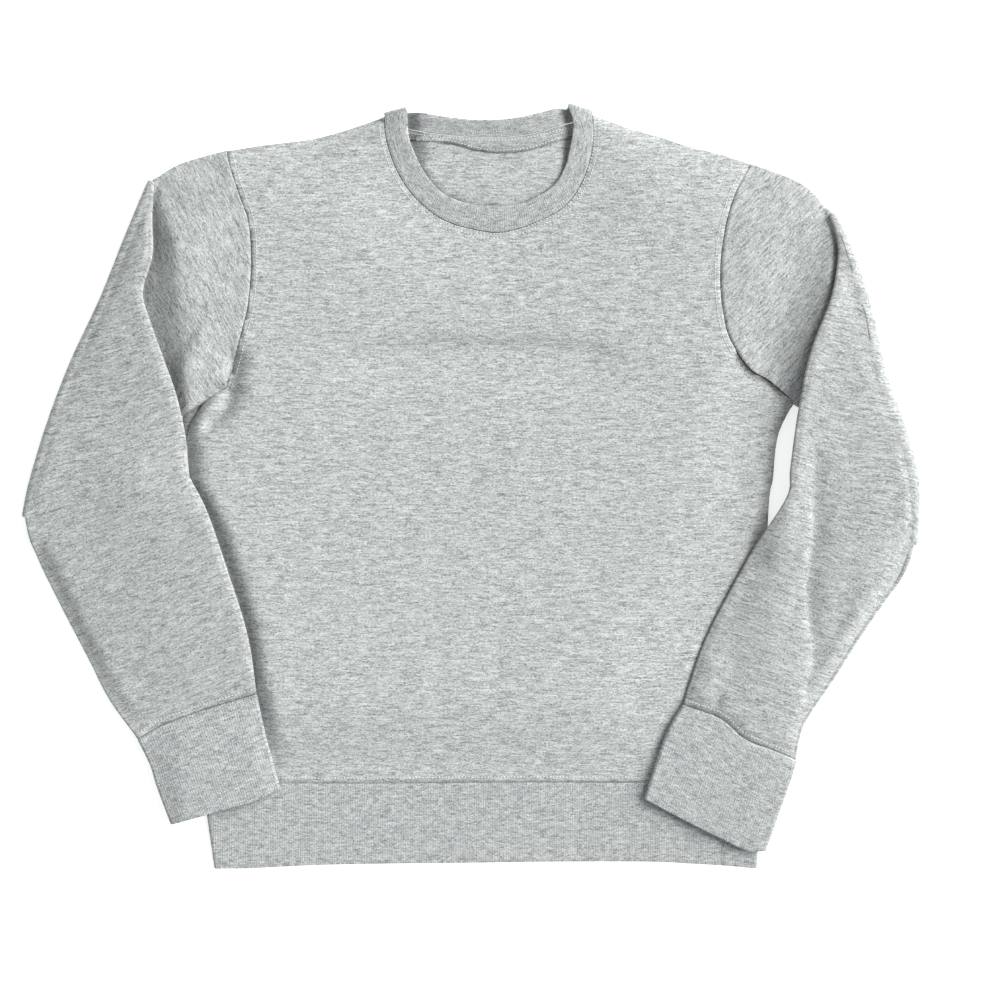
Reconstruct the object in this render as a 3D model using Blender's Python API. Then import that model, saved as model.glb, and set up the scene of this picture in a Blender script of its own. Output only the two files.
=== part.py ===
"""Crewneck sweatshirt, laid flat on its back, with both sleeves folded over the front.

The frame is in metres, +Z up, with +Y towards the neck and +X to the right as seen from above.
The origin lies on the surface that the garment rests on, below the middle of its outline.

Every piece is a wall of cloth of its own. The front and the back are panels, each filled in
between its seam lines. The sleeves, the cuffs, the hem band and the neck rib are tubes that lie
flat: two layers with a rounded edge on each side. Plan sizes are in millimetres until the meshes
are written, because a cutter's sizes read best that way.
"""

import math

import bmesh
import bpy
from mathutils import Vector

# ---------------------------------------------------------------- driving sizes, millimetres

METRES = 0.001

FLEECE = 1.8          # wall of the body and the sleeves
RIB = 2.6             # wall of the doubled ribs: neck, cuffs and hem
TAPE = 1.0            # wall of the neck tape
SEAM_GAP = 0.3        # between two pieces that are sewn together
LAYER_GAP = 1.2       # between the front and the back layer of the body and the sleeves
REST_GAP = 0.6        # between cloth and the cloth it lies on

BACK_MID = FLEECE / 2                         # height of the middle of the back layer's wall
FRONT_MID = BACK_MID + FLEECE + LAYER_GAP     # and of the front layer's
FRONT_TOP = FRONT_MID + FLEECE / 2
HEM_BACK_MID = RIB / 2
HEM_FRONT_MID = HEM_BACK_MID + RIB + REST_GAP
HEM_TOP = HEM_FRONT_MID + RIB / 2
CUFF_GAP = 0.8        # between the two layers of a cuff

FOLD_AXIS_HEIGHT = 9.0      # the line that a sleeve is folded around
FOLD_RELAX = 48.0           # how far from the fold the cloth is still lifted by it
ROLL_RISE = 1.3             # how much the folded sleeve stays rolled along its inner edge, each way
ROLL_WIDTH = 45.0           # width of that roll

NECK_RIB_FRONT_MID = 6.1    # the front of the neck rib stands clear of the back of the neck
NECK_PANEL_MID = 5.6        # and lifts the front panel's neckline with it
NECK_LIFT_REACH = 70.0

DRAPE_SHELF = 13.0          # cloth leaves an edge below it level for this far
DRAPE_FOOT = 44.0           # and has come down to the surface this far from the edge

EDGE_ROOM = 4.2             # a sleeve's rounded edges keep this far from the ends of its armhole

# ---------------------------------------------------------------- seam lines and edges
# Each line is a short table of points that a smooth curve runs through.
# Columns: x to the right, y towards the neck, both in millimetres.

SHOULDER_LEFT = ((-224, 308), (-184, 314), (-147, 318.5), (-120, 325), (-92, 334), (-78, 339))
SHOULDER_RIGHT = ((112, 341), (138, 331.5), (156, 326), (175, 320.5), (202, 312), (230, 305), (258, 296))

NECK_SEAM_FRONT = (
    (-78, 339), (-77, 322), (-71, 300), (-60, 278), (-43, 258), (-21, 243), (7, 235),
    (28, 233), (52, 239), (80, 252), (97, 269), (108, 293), (113, 319), (112, 341),
)
NECK_SEAM_BACK = ((-78, 339), (-54, 328), (-28, 323), (18, 320), (55, 323), (83, 331), (112, 341))
NECK_EDGE_FRONT = (
    (-56, 344), (-56, 322), (-52, 309), (-41, 287), (-25, 269), (-1, 259), (22, 257),
    (44, 259), (72, 272), (86, 291), (93, 318), (94, 335), (89, 348),
)
NECK_EDGE_BACK = (
    (-56, 344), (-46, 344), (-28, 340), (0, 336.5), (28, 336.5), (48, 339), (66, 343.5), (79, 348), (89, 348),
)

TAPE_TOP = ((-66, 329.5), (-54, 326), (-28, 322), (18, 319), (55, 322), (83, 329), (100, 334))
TAPE_BOTTOM = ((-66, 318), (-28, 316), (-11, 313), (8, 308), (27, 306), (53, 308), (76, 315), (100, 323))

ARMHOLE_LEFT = (
    (-224, 91), (-218, 108), (-210, 137), (-203, 165), (-200, 202), (-202, 240), (-210, 264),
    (-218, 287), (-224, 308),
)
ARMHOLE_RIGHT = (
    (298, 77), (273, 98), (257, 107), (243, 126), (234, 147), (229, 190), (233, 233),
    (243, 268), (258, 296),
)
SIDE_LEFT = (
    (-246, -272), (-248, -196), (-252, -104), (-256, -12), (-259, 30), (-259, 46), (-255, 57), (-247, 69),
    (-236, 80), (-224, 91),
)
SIDE_RIGHT = ((267, -272), (270, -150), (274, -22), (278, 6), (282, 43), (290, 64), (298, 77))

HEM_SEAM = ((-246, -272), (-108, -271), (2, -270), (101, -269), (162, -270), (267, -272))
HEM_EDGE = (
    (-235, -351), (-200, -350.5), (-150, -348), (-92, -346.5), (0, -345.5), (74, -344.5), (165, -344.5),
    (207, -346.5), (239, -348.5), (264, -351),
)

SLEEVES = {
    "left": {
        "armhole": ARMHOLE_LEFT,
        "shoulder_edge": ((-224, 308), (-247, 301), (-266, 293.5), (-277, 286), (-281.5, 278)),
        "fold": ((-281.5, 278), (-308, 223), (-332, 168), (-358, 112.5), (-379, 58), (-396, 3), (-403, -30)),
        "first_underarm": ((-224, 94), (-259, 70), (-310, 36), (-360, 3), (-403, -30)),
        "inner_edge": (
            (-281.5, 278), (-289, 247), (-291, 214), (-300, 180), (-292, 150), (-281, 120), (-268, 83),
            (-260, 44), (-259, 16), (-241, -20), (-221, -77), (-203, -136), (-195, -190),
        ),
        "underarm": ((-403, -30), (-396, -60), (-376, -103), (-347.5, -158.5), (-329, -195), (-303, -231)),
        "cuff_seam": ((-195, -190), (-216, -196), (-248, -206), (-280, -218), (-303, -231)),
        "cuff_inner": ((-195, -190), (-188, -224), (-181, -250), (-174, -275)),
        "cuff_outer": ((-303, -231), (-291, -255), (-285, -274), (-272, -308)),
        "cuff_edge": ((-174, -275), (-195, -286), (-216, -292), (-244, -300), (-272, -308)),
    },
    "right": {
        "armhole": ARMHOLE_RIGHT,
        "shoulder_edge": ((258, 296), (275, 288), (293, 280), (303, 275), (311, 268), (317, 259), (320.5, 250.5)),
        "fold": (
            (320.5, 250.5), (335, 222), (357, 168), (365, 132.5), (374, 95.5), (393.5, 40), (402, -2), (401, -54),
        ),
        "first_underarm": ((298, 77), (328, 63), (362, 22), (388, -20), (401, -54)),
        "inner_edge": (
            (320.5, 250.5), (332, 229), (336, 209), (331, 175), (311, 122), (300, 68), (293, 17),
            (290, -8), (259, -58), (219, -132), (201, -180), (195, -200),
        ),
        "underarm": (
            (401, -54), (391, -84.5), (378, -103), (353, -139.5), (330, -176.5), (306, -213), (299, -232),
            (296, -251),
        ),
        "cuff_seam": ((195, -200), (228, -212), (249, -230), (279, -243), (296, -251)),
        "cuff_inner": ((195, -200), (180, -226), (164, -272), (160, -285)),
        "cuff_outer": ((296, -251), (289, -273), (277, -306), (268, -332)),
        "cuff_edge": ((160, -285), (199, -306), (229, -321), (250, -331), (268, -332)),
    },
}

# ---------------------------------------------------------------- grid steps

PANEL_CELL = 26.0       # the panels' grid, millimetres
SHOULDER_STEPS = 5
NECK_STEPS = 22
TAPE_STEPS = 12
SIDE_STEPS = 24
ARMHOLE_STEPS = 12
HEM_STEPS = 20
EDGE_STEPS = 4          # round the rounded edge of a flat tube
FIRST_STEPS = 4         # along a sleeve, from the armhole to the fold
BEND_STEPS = 5          # round the fold
FOLDED_STEPS = 18       # from the fold to the cuff
CUFF_STEPS = 3

# ---------------------------------------------------------------- colours

HEATHER = (0.545, 0.565, 0.560)
HEATHER_RIB = (0.500, 0.520, 0.515)
TAPE_GREY = (0.520, 0.540, 0.535)


# ---------------------------------------------------------------- curves


def even_points(points, steps):
    """Return steps + 1 points at even lengths along a polyline."""
    lengths = [0.0]
    for start, end in zip(points, points[1:]):
        lengths.append(lengths[-1] + (end - start).length)
    placed = []
    piece = 0
    for step in range(steps + 1):
        target = lengths[-1] * step / steps
        while piece < len(points) - 2 and lengths[piece + 1] < target:
            piece += 1
        span = lengths[piece + 1] - lengths[piece]
        placed.append(points[piece].lerp(points[piece + 1], (target - lengths[piece]) / span))
    return placed


def curve(table, steps):
    """Return steps + 1 even points on a smooth curve (Catmull-Rom) through the table's points."""
    knots = [Vector(row) for row in table]
    knots = [2 * knots[0] - knots[1]] + knots + [2 * knots[-1] - knots[-2]]
    fine = []
    for before, start, end, after in zip(knots, knots[1:], knots[2:], knots[3:]):
        for step in range(12):
            t = step / 12
            fine.append(
                0.5 * (2 * start + (end - before) * t
                       + (2 * before - 5 * start + 4 * end - after) * t ** 2
                       + (3 * start - before - 3 * end + after) * t ** 3)
            )
    fine.append(knots[-2])
    return even_points(fine, steps)


def offset(points, distance):
    """Return the plan points moved sideways, to the left of their direction where distance is positive."""
    moved = []
    for index, point in enumerate(points):
        along = points[min(index + 1, len(points) - 1)] - points[max(index - 1, 0)]
        moved.append(point + Vector((-along.y, along.x)).normalized() * distance)
    return moved


def fill(bottom, top, left, right):
    """Return rows of plan points that fill four edges. Rows run from bottom to top."""
    columns = len(bottom) - 1
    rows = len(left) - 1
    filled = []
    for j in range(rows + 1):
        v = j / rows
        row = []
        for i in range(columns + 1):
            u = i / columns
            between_sides = left[j].lerp(right[j], u)
            between_ends = bottom[i].lerp(top[i], v)
            corners = bottom[0].lerp(bottom[-1], u).lerp(top[0].lerp(top[-1], u), v)
            row.append(between_sides + between_ends - corners)
        filled.append(row)
    return filled


def ease(value):
    """Return 0 below 0, 1 above 1, and a smooth step between."""
    value = min(max(value, 0.0), 1.0)
    return value * value * (3 - 2 * value)


def distance_to_line(point, line):
    """Return the distance in plan from a point to a polyline."""
    nearest = math.inf
    for start, end in zip(line, line[1:]):
        along = end - start
        t = (point - start).dot(along) / along.length_squared
        nearest = min(nearest, (start + along * min(max(t, 0.0), 1.0) - point).length)
    return nearest


def is_inside(point, outline):
    """Say whether a plan point lies inside a closed outline."""
    inside = False
    for start, end in zip(outline, outline[1:] + outline[:1]):
        if (start.y > point.y) != (end.y > point.y):
            crossing = start.x + (end.x - start.x) * (point.y - start.y) / (end.y - start.y)
            if point.x < crossing:
                inside = not inside
    return inside


# ---------------------------------------------------------------- what cloth lies on


def body_outline():
    """Return the closed plan outline of the two body panels."""
    left = curve(SIDE_LEFT, 24) + curve(ARMHOLE_LEFT, 16)[1:]
    right = curve(SIDE_RIGHT, 24) + curve(ARMHOLE_RIGHT, 16)[1:]
    return left + right[::-1]


def first_part_outline(lines):
    """Return the closed plan outline of the part of a sleeve that lies below its fold."""
    outline = curve(lines["armhole"], 16) + curve(lines["shoulder_edge"], 8)[1:]
    return outline + curve(lines["fold"], 16)[1:] + curve(lines["first_underarm"], 12)[::-1][1:-1]


def hem_outline():
    """Return the closed plan outline of the hem band."""
    return curve(HEM_SEAM, 12) + curve(HEM_EDGE, 12)[::-1]


def lift_at(point, supports):
    """Return how far above the surface the underside of cloth lies, draped over the supports."""
    lift = 0.0
    for outline, top in supports:
        away = 0.0
        if not is_inside(point, outline):
            away = distance_to_line(point, outline + outline[:1])
        share = 1 - ease((away - DRAPE_SHELF) / (DRAPE_FOOT - DRAPE_SHELF))
        lift = max(lift, (top + REST_GAP) * share)
    return lift


# ---------------------------------------------------------------- meshes


def cloth(name, colour):
    """Return a plain matt material for one piece of cloth."""
    material = bpy.data.materials.new(name)
    material.use_nodes = True
    shader = material.node_tree.nodes["Principled BSDF"]
    shader.inputs["Base Color"].default_value = (*colour, 1.0)
    shader.inputs["Roughness"].default_value = 0.9
    shader.inputs["Metallic"].default_value = 0.0
    return material


def finish(name, work, colour):
    """Turn the mesh being worked on into a named object with its own material."""
    for face in work.faces:
        face.smooth = True
    mesh = bpy.data.meshes.new(name)
    work.to_mesh(mesh)
    work.free()
    mesh.materials.append(cloth(name, colour))
    piece = bpy.data.objects.new(name, mesh)
    bpy.context.collection.objects.link(piece)
    return piece


def panel(name, outline, height, wall, colour):
    """Make a flat cut piece of cloth: its outline, gridded, raised to height(point), given a wall."""
    work = bmesh.new()
    corners = [work.verts.new((p.x, p.y, 0.0)) for p in outline]
    work.faces.new(corners)
    low = Vector((min(p.x for p in outline), min(p.y for p in outline)))
    high = Vector((max(p.x for p in outline), max(p.y for p in outline)))
    for axis in (0, 1):
        across = Vector((1 - axis, axis, 0))
        lines = round((high[axis] - low[axis]) / PANEL_CELL)
        for line in range(1, lines):
            place = across * (low[axis] + (high[axis] - low[axis]) * line / lines)
            everything = work.verts[:] + work.edges[:] + work.faces[:]
            bmesh.ops.bisect_plane(work, geom=everything, plane_co=place, plane_no=across)
    for vertex in work.verts:
        vertex.co.z = height(vertex.co.xy)
        vertex.co *= METRES
    bmesh.ops.recalc_face_normals(work, faces=work.faces)
    piece = finish(name, work, colour)
    solidify = piece.modifiers.new("wall", "SOLIDIFY")
    solidify.thickness = wall * METRES
    solidify.offset = 0.0
    return piece


def edge_arc(start, end, outward):
    """Return the points between two layers' edges, round the outside from start to end."""
    centre = (start + end) / 2
    arm = (start - end) / 2
    arc = []
    for step in range(1, EDGE_STEPS):
        angle = math.pi * step / EDGE_STEPS
        arc.append(centre + arm * math.cos(angle) + outward * arm.length * math.sin(angle))
    return arc


def skin(rows, distance):
    """Return the closed loops of one skin of a flat tube, this far outside its wall's middle.

    Each row holds its front points, its back points, the directions from back to front, and the
    two directions out of its start edge and its end edge.
    """
    loops = []
    for front, back, normals, out_start, out_end in rows:
        front = [point + normal * distance for point, normal in zip(front, normals)]
        back = [point - normal * distance for point, normal in zip(back, normals)]
        loop = front + edge_arc(front[-1], back[-1], out_end)
        loop = loop + back[::-1] + edge_arc(back[0], front[0], out_start)
        loops.append(loop + loop[:1])
    return loops


def tube(name, rows, wall, colour):
    """Make a tube of cloth that lies flat, open at both ends, from its rows (see skin)."""
    loops = skin(rows, wall / 2) + skin(rows, -wall / 2)[::-1]
    loops.append(loops[0])
    columns = len(loops[0]) - 1
    work = bmesh.new()
    bmesh.ops.create_grid(work, x_segments=columns, y_segments=len(loops) - 1, size=0.5)
    for vertex in work.verts:
        column = round((vertex.co.x + 0.5) * columns)
        row = round((vertex.co.y + 0.5) * (len(loops) - 1))
        vertex.co = loops[row][column] * METRES
    bmesh.ops.remove_doubles(work, verts=work.verts, dist=1e-6)
    bmesh.ops.recalc_face_normals(work, faces=work.faces)
    return finish(name, work, colour)


def raised(points, height):
    """Return plan points as points in space. height is a function of the plan point."""
    return [Vector((p.x, p.y, height(p))) for p in points]


def way_out(before, after, edge, inner, normal):
    """Return the direction out of a tube's edge: square to the edge and to the cloth's normal."""
    across = (after - before).cross(normal).normalized()
    return across if across.dot(edge - inner) > 0 else -across


def tube_rows(sections):
    """Return the rows for a tube from its sections of (middle point, normal, half spread).

    At the tube's two open ends the rounded edges point along the seam, so that the two pieces
    that meet there end alike.
    """
    rows = []
    for j, section in enumerate(sections):
        front = [middle + normal * spread for middle, normal, spread in section]
        back = [middle - normal * spread for middle, normal, spread in section]
        before = sections[max(j - 1, 0)]
        after = sections[min(j + 1, len(sections) - 1)]
        ways = []
        for edge, inner in ((0, 1), (-1, -2)):
            middle, normal, spread = section[edge]
            way = (middle - section[inner][0]).normalized()
            if 0 < j < len(sections) - 1:
                way = way_out(before[edge][0], after[edge][0], middle, section[inner][0], normal)
            ways.append(way)
        rows.append((front, back, [normal for middle, normal, spread in section], *ways))
    return rows


def flat_sections(plan_rows, low_height, half_spread):
    """Return the sections of a level tube. low_height gives its lower layer's height at a point."""
    up = Vector((0, 0, 1))
    sections = []
    for row in plan_rows:
        middles = raised(row, lambda point: low_height(point) + half_spread)
        sections.append([(middle, up, half_spread) for middle in middles])
    return sections


# ---------------------------------------------------------------- body


def armhole_points(table):
    """Return the points that a sleeve and the panels share along one armhole seam."""
    fine = curve(table, 200)
    kept = [p for p in fine if min((p - fine[0]).length, (p - fine[-1]).length) > EDGE_ROOM]
    return even_points(kept, ARMHOLE_STEPS)


def body_edge(side_table, armhole_table, shoulder, gap_side):
    """Return one side of a panel's outline, from the hem seam to the neck point."""
    side = curve(side_table, SIDE_STEPS)
    armhole = offset(armhole_points(armhole_table), gap_side * SEAM_GAP / 2)
    return side + armhole + shoulder


def front_height(point, neck_line):
    """Return the height of the middle of the front panel's wall."""
    near = 1 - ease(distance_to_line(point, neck_line) / NECK_LIFT_REACH)
    return FRONT_MID + (NECK_PANEL_MID - FRONT_MID) * near


def body_panel(name, neck_seam, height):
    """Make the front or the back panel between its hem, side, armhole, shoulder and neck seams."""
    neck = offset(curve(neck_seam, NECK_STEPS), -SEAM_GAP / 2)
    left = body_edge(SIDE_LEFT, ARMHOLE_LEFT, curve(SHOULDER_LEFT, SHOULDER_STEPS)[:-1], -1)
    right = body_edge(SIDE_RIGHT, ARMHOLE_RIGHT, curve(SHOULDER_RIGHT, SHOULDER_STEPS)[:0:-1], 1)
    hem = offset(curve(HEM_SEAM, HEM_STEPS), SEAM_GAP / 2)
    outline = hem[::-1] + left[1:] + neck + right[:0:-1]
    return panel(name, outline, height, FLEECE, HEATHER)


def hem_band():
    """Make the doubled rib at the hem, as a tube that lies flat."""
    seam = offset(curve(HEM_SEAM, HEM_STEPS), -SEAM_GAP / 2)
    edge = curve(HEM_EDGE, HEM_STEPS)
    plan = [seam, [a.lerp(b, 0.5) for a, b in zip(seam, edge)], edge]
    sections = flat_sections(plan, lambda point: HEM_BACK_MID, (HEM_FRONT_MID - HEM_BACK_MID) / 2)
    return tube("hem_band", tube_rows(sections), RIB, HEATHER_RIB)


def neck_rib():
    """Make the doubled neck rib, a ring that lies flat, folded at the two neck points."""
    front_seam = offset(curve(NECK_SEAM_FRONT, NECK_STEPS), SEAM_GAP / 2)
    front_edge = curve(NECK_EDGE_FRONT, NECK_STEPS)
    back_seam = offset(curve(NECK_SEAM_BACK, NECK_STEPS), SEAM_GAP / 2)
    back_edge = curve(NECK_EDGE_BACK, NECK_STEPS)
    back_seam[0], back_seam[-1] = front_seam[0], front_seam[-1]
    back_edge[0], back_edge[-1] = front_edge[0], front_edge[-1]
    up = Vector((0, 0, 1))
    ways = []
    for end in (0, -1):
        fold = (front_edge[end] - front_seam[end]).to_3d()
        way = fold.cross(up).normalized()
        ways.append(way if way.y > 0 else -way)
    rows = []
    for share in (0.0, 0.5, 1.0):
        front = raised([a.lerp(b, share) for a, b in zip(front_seam, front_edge)], lambda p: NECK_RIB_FRONT_MID)
        back = raised([a.lerp(b, share) for a, b in zip(back_seam, back_edge)], lambda p: HEM_BACK_MID)
        rows.append((front, back, [up] * len(front), *ways))
    return tube("neck_rib", rows, RIB, HEATHER_RIB)


def neck_tape():
    """Make the tape that covers the back neck seam, on the inside of the back panel."""
    top = curve(TAPE_TOP, TAPE_STEPS)
    bottom = curve(TAPE_BOTTOM, TAPE_STEPS)
    height = FLEECE + SEAM_GAP + TAPE / 2
    return panel("neck_tape", top + bottom[::-1], lambda point: height, TAPE, TAPE_GREY)


# ---------------------------------------------------------------- sleeves


def sleeve_sections(lines, supports):
    """Return a sleeve's sections of (middle point, direction to its front layer, half spread)."""
    armhole = armhole_points(lines["armhole"])[::-1]
    outward = -1 if armhole[0].x < 0 else 1
    armhole = offset(armhole, outward * SEAM_GAP / 2)
    fold = curve(lines["fold"], ARMHOLE_STEPS)
    shoulder = curve(lines["shoulder_edge"], FIRST_STEPS)
    underarm = curve(lines["first_underarm"], FIRST_STEPS)
    shoulder[0], underarm[0] = armhole[0], armhole[-1]
    flat_mid = (BACK_MID + FRONT_MID) / 2
    half_spread = (FRONT_MID - BACK_MID) / 2
    sections = flat_sections(fill(armhole, fold, shoulder, underarm)[:-1], lambda p: BACK_MID, half_spread)
    away = [(a - b).normalized() for a, b in zip(offset(fold, 1), fold)]
    if away[0].x * outward < 0:
        away = [-direction for direction in away]
    radius = FOLD_AXIS_HEIGHT - flat_mid
    for step in range(BEND_STEPS + 1):
        angle = math.pi * step / BEND_STEPS
        section = []
        for point, side in zip(fold, away):
            plan = point + side * radius * math.sin(angle)
            middle = Vector((plan.x, plan.y, FOLD_AXIS_HEIGHT - radius * math.cos(angle)))
            to_front = Vector((-side.x * math.sin(angle), -side.y * math.sin(angle), math.cos(angle)))
            section.append((middle, to_front, half_spread))
        sections.append(section)
    inner = curve(lines["inner_edge"], FOLDED_STEPS)
    outer = curve(lines["underarm"], FOLDED_STEPS)
    cuff_seam = curve(lines["cuff_seam"], ARMHOLE_STEPS)
    for row in fill(fold, cuff_seam, inner, outer)[1:]:
        section = []
        for point in row:
            roll = 1 - ease(distance_to_line(point, inner) / ROLL_WIDTH)
            roll *= ease(distance_to_line(point, cuff_seam) / ROLL_WIDTH)
            spread = half_spread + ROLL_RISE * roll
            height = FLEECE / 2 + lift_at(point, supports) + spread
            near_fold = 1 - ease(distance_to_line(point, fold) / FOLD_RELAX)
            height += (2 * FOLD_AXIS_HEIGHT - flat_mid - height) * near_fold
            section.append((Vector((point.x, point.y, height)), Vector((0, 0, -1)), spread))
        sections.append(section)
    return sections


def sleeve(side, lines, supports):
    """Make one sleeve, from its armhole over the fold to its cuff seam."""
    return tube(f"sleeve_{side}", tube_rows(sleeve_sections(lines, supports)), FLEECE, HEATHER)


def cuff(side, lines, supports):
    """Make the doubled rib at one sleeve's end, lying where the folded sleeve leaves it."""
    seam = curve(lines["cuff_seam"], ARMHOLE_STEPS)
    edge = curve(lines["cuff_edge"], ARMHOLE_STEPS)
    inner = curve(lines["cuff_inner"], CUFF_STEPS)
    outer = curve(lines["cuff_outer"], CUFF_STEPS)
    plan = fill(seam, edge, inner, outer)
    down_the_arm = (inner[1] - inner[0]).normalized() * SEAM_GAP
    plan[0] = [point + down_the_arm for point in plan[0]]
    half_spread = (RIB + CUFF_GAP) / 2
    sections = flat_sections(plan, lambda point: RIB / 2 + lift_at(point, supports), half_spread)
    return tube(f"cuff_{side}", tube_rows(sections), RIB, HEATHER_RIB)


# ---------------------------------------------------------------- garment


def build():
    """Make every piece of the garment."""
    for old in list(bpy.data.objects):
        bpy.data.objects.remove(old, do_unlink=True)
    neck_line = curve(NECK_SEAM_FRONT, 24)
    body_panel("back_panel", NECK_SEAM_BACK, lambda point: BACK_MID)
    body_panel("front_panel", NECK_SEAM_FRONT, lambda point: front_height(point, neck_line))
    hem_band()
    neck_rib()
    neck_tape()
    below = [(body_outline(), FRONT_TOP), (hem_outline(), HEM_TOP)]
    for side, lines in SLEEVES.items():
        sleeve(side, lines, below + [(first_part_outline(lines), FRONT_TOP)])
        cuff(side, lines, below)


build()
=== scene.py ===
"""The looks of a crewneck sweatshirt in light heather grey knit, laid flat with folded sleeves.

Plan sizes are in millimetres until a mesh is written: x to the right, y towards the neck, and z up
from the surface that the garment lies on. Left and right are as seen from above.
"""

import logging
import math
from collections.abc import Callable
from dataclasses import dataclass, field
from enum import Enum
from typing import ClassVar

import bmesh
import bpy
import numpy as np
from mathutils import Matrix, Vector
from mathutils.bvhtree import BVHTree


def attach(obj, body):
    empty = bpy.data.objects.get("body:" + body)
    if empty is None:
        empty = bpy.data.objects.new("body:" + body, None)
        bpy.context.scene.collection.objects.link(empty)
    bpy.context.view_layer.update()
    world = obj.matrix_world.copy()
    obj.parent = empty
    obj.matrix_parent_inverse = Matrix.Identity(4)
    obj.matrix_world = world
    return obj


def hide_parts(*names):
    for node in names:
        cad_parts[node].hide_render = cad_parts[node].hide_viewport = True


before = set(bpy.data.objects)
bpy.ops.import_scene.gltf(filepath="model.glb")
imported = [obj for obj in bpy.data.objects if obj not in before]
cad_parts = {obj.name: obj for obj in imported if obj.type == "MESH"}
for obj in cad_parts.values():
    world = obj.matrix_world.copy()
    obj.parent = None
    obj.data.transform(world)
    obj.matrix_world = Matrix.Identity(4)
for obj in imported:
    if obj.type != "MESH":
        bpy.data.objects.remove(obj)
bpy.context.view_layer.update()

log = logging.getLogger("sweatshirt")

METRES = 0.001
CLOTH_UV = "cloth"

# --- sizes of the cloth, millimetres

FLEECE = 1.8            # wall of the body and the sleeves
RIB = 2.6               # wall of the doubled ribs
TAPE = 1.0              # wall of the neck tape
SEAM_GAP = 0.6          # between two pieces that are sewn together
EDGE_REACH = 3.0        # a flat tube's edge bulges no further than this
REST_GAP = 0.6          # between cloth and the cloth it lies on
TINY = 1e-9             # keeps a nil vector from being divided by nil
ROW_OFFSET = 5.0        # from a seam to its outer row of stitches

BACK_MID = 0.9          # height of the middle of the back layer's wall
FRONT_MID = 3.9         # and of the front layer's
FRONT_TOP = FRONT_MID + FLEECE / 2
HEM_BACK_MID = 1.3
HEM_FRONT_MID = 4.5
HEM_TOP = 5.8
HEM_SIDE = (HEM_FRONT_MID - HEM_BACK_MID) / 2 + RIB / 2     # how far the hem's rounded sides reach

LOFT = 11.0             # air between the layers lifts the front this much
SIDE_REACH = 20.0       # this far inside its left side and beside the left armpit
SAG_REACH = 90.0        # how far the body sags beside the folded right sleeve
FOLD_REACH = 12.0       # this far beside the sleeves' folds
UNDERARM_REACH = 13.0   # this far beside the upper sleeves' lower edges,
UNDERARM_FREE = 0.5     # where the lift is already this share of that width
SHOULDER_REACH = 75.0   # and this far below the shoulders
HEM_REACH = 80.0        # and this far above the hem
CUFF_PRESS = 13.0       # and this far beside a cuff

NECK_PANEL_MID = 10.2   # height of the front panel at the neck seam
NECK_LIFT_REACH = 75.0
NECK_PAD = 7.2          # the back of the neck stands up this much in the neck opening,
NECK_PAD_REACH = 14.0   # this far inside the front's inner edge beside the neck points
NECK_PAD_TUCK = 7.0     # and right from below the rib in the lower half
NECK_HALF = 300.0       # where that half ends
NECK_BLEND = 30.0       # and over how far it does
PRESS_SHAPE = 0.65      # how suddenly the cloth dips beside a folded sleeve: 1 is soft, 0.5 a flat facet

NECK_RIB = 21.0         # width of the rib at the neck
HEM_RIB = 78.0          # and at the hem
CUFF_THICK = 3.4        # between the middles of a cuff's two layers
LIFT_EDGE = 9.0         # the sleeves' inner edges stand off over this width
STIFF_REACH = 110.0     # the cuff holds up the sleeve this far from its seam
UNROLL_REACH = 60.0     # the sleeve's cloth follows the bow of its fold this far from it
CORNER_SHARE = 0.15     # share of an edge that follows a moved corner

DRAPE_SHELF = 13.0      # cloth leaves an edge below it level for this far
DRAPE_FOOT = 44.0       # and has come down to the surface this far from the edge

# Where the coordinates of each piece's cloth start, so that no two pieces show the same fibres.
GRAIN = {
    "front": (0.0, 0.0), "hem": (700.0, 0.0), "back": (900.0, 300.0), "tape": (1500.0, 0.0),
    "neck": (2000.0, 0.0), "left": (3000.0, 0.0), "right": (5000.0, 0.0), "cuff": (7000.0, 0.0),
}

# --- seam lines and edges
# Short tables of points that a smooth curve runs through. Columns: x, y.

Table = tuple[tuple[float, float], ...]

SHOULDER_LEFT: Table = ((-224, 308), (-184, 314), (-147, 318.5), (-120, 325), (-92, 334), (-78, 339))
SHOULDER_RIGHT: Table = (
    (112, 341), (138, 331.5), (156, 326), (175, 320.5), (202, 312), (230, 305), (258, 296),
)
NECK_SEAM_FRONT: Table = (
    (-78, 339), (-77, 322), (-71, 300), (-60, 278), (-43, 258), (-21, 243), (7, 235),
    (28, 233), (52, 239), (80, 252), (97, 269), (108, 293), (113, 319), (112, 341),
)
NECK_SEAM_BACK: Table = ((-78, 339), (-54, 328), (-28, 323), (18, 320), (55, 323), (83, 331), (112, 341))
NECK_EDGE_FRONT: Table = (
    (-57.5, 344), (-56, 322), (-52, 309), (-41, 287), (-25, 269), (-1, 259), (22, 257),
    (44, 259), (72, 272), (86, 291), (93, 318), (94, 335), (89.5, 346.8),
)
NECK_EDGE_BACK: Table = (
    (-57.5, 344), (-46, 343.5), (-28, 340), (0, 336.5), (28, 336.5), (48, 339), (66, 343.5), (79, 347),
    (89.5, 346.8),
)
TAPE_TOP: Table = ((-66, 329.5), (-54, 326), (-28, 322), (18, 319), (55, 322), (83, 329), (100, 334))
TAPE_BOTTOM: Table = (
    (-66, 318), (-28, 316), (-11, 313), (8, 308), (27, 306), (53, 308), (76, 315), (100, 323),
)
ARMHOLE_LEFT: Table = (
    (-224, 91), (-218, 108), (-210, 137), (-203, 165), (-200, 202), (-202, 240), (-210, 264),
    (-218, 287), (-224, 308),
)
ARMHOLE_RIGHT: Table = (
    (298, 77), (273, 98), (257, 107), (243, 126), (234, 147), (229, 190), (233, 233),
    (243, 268), (258, 296),
)
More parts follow.
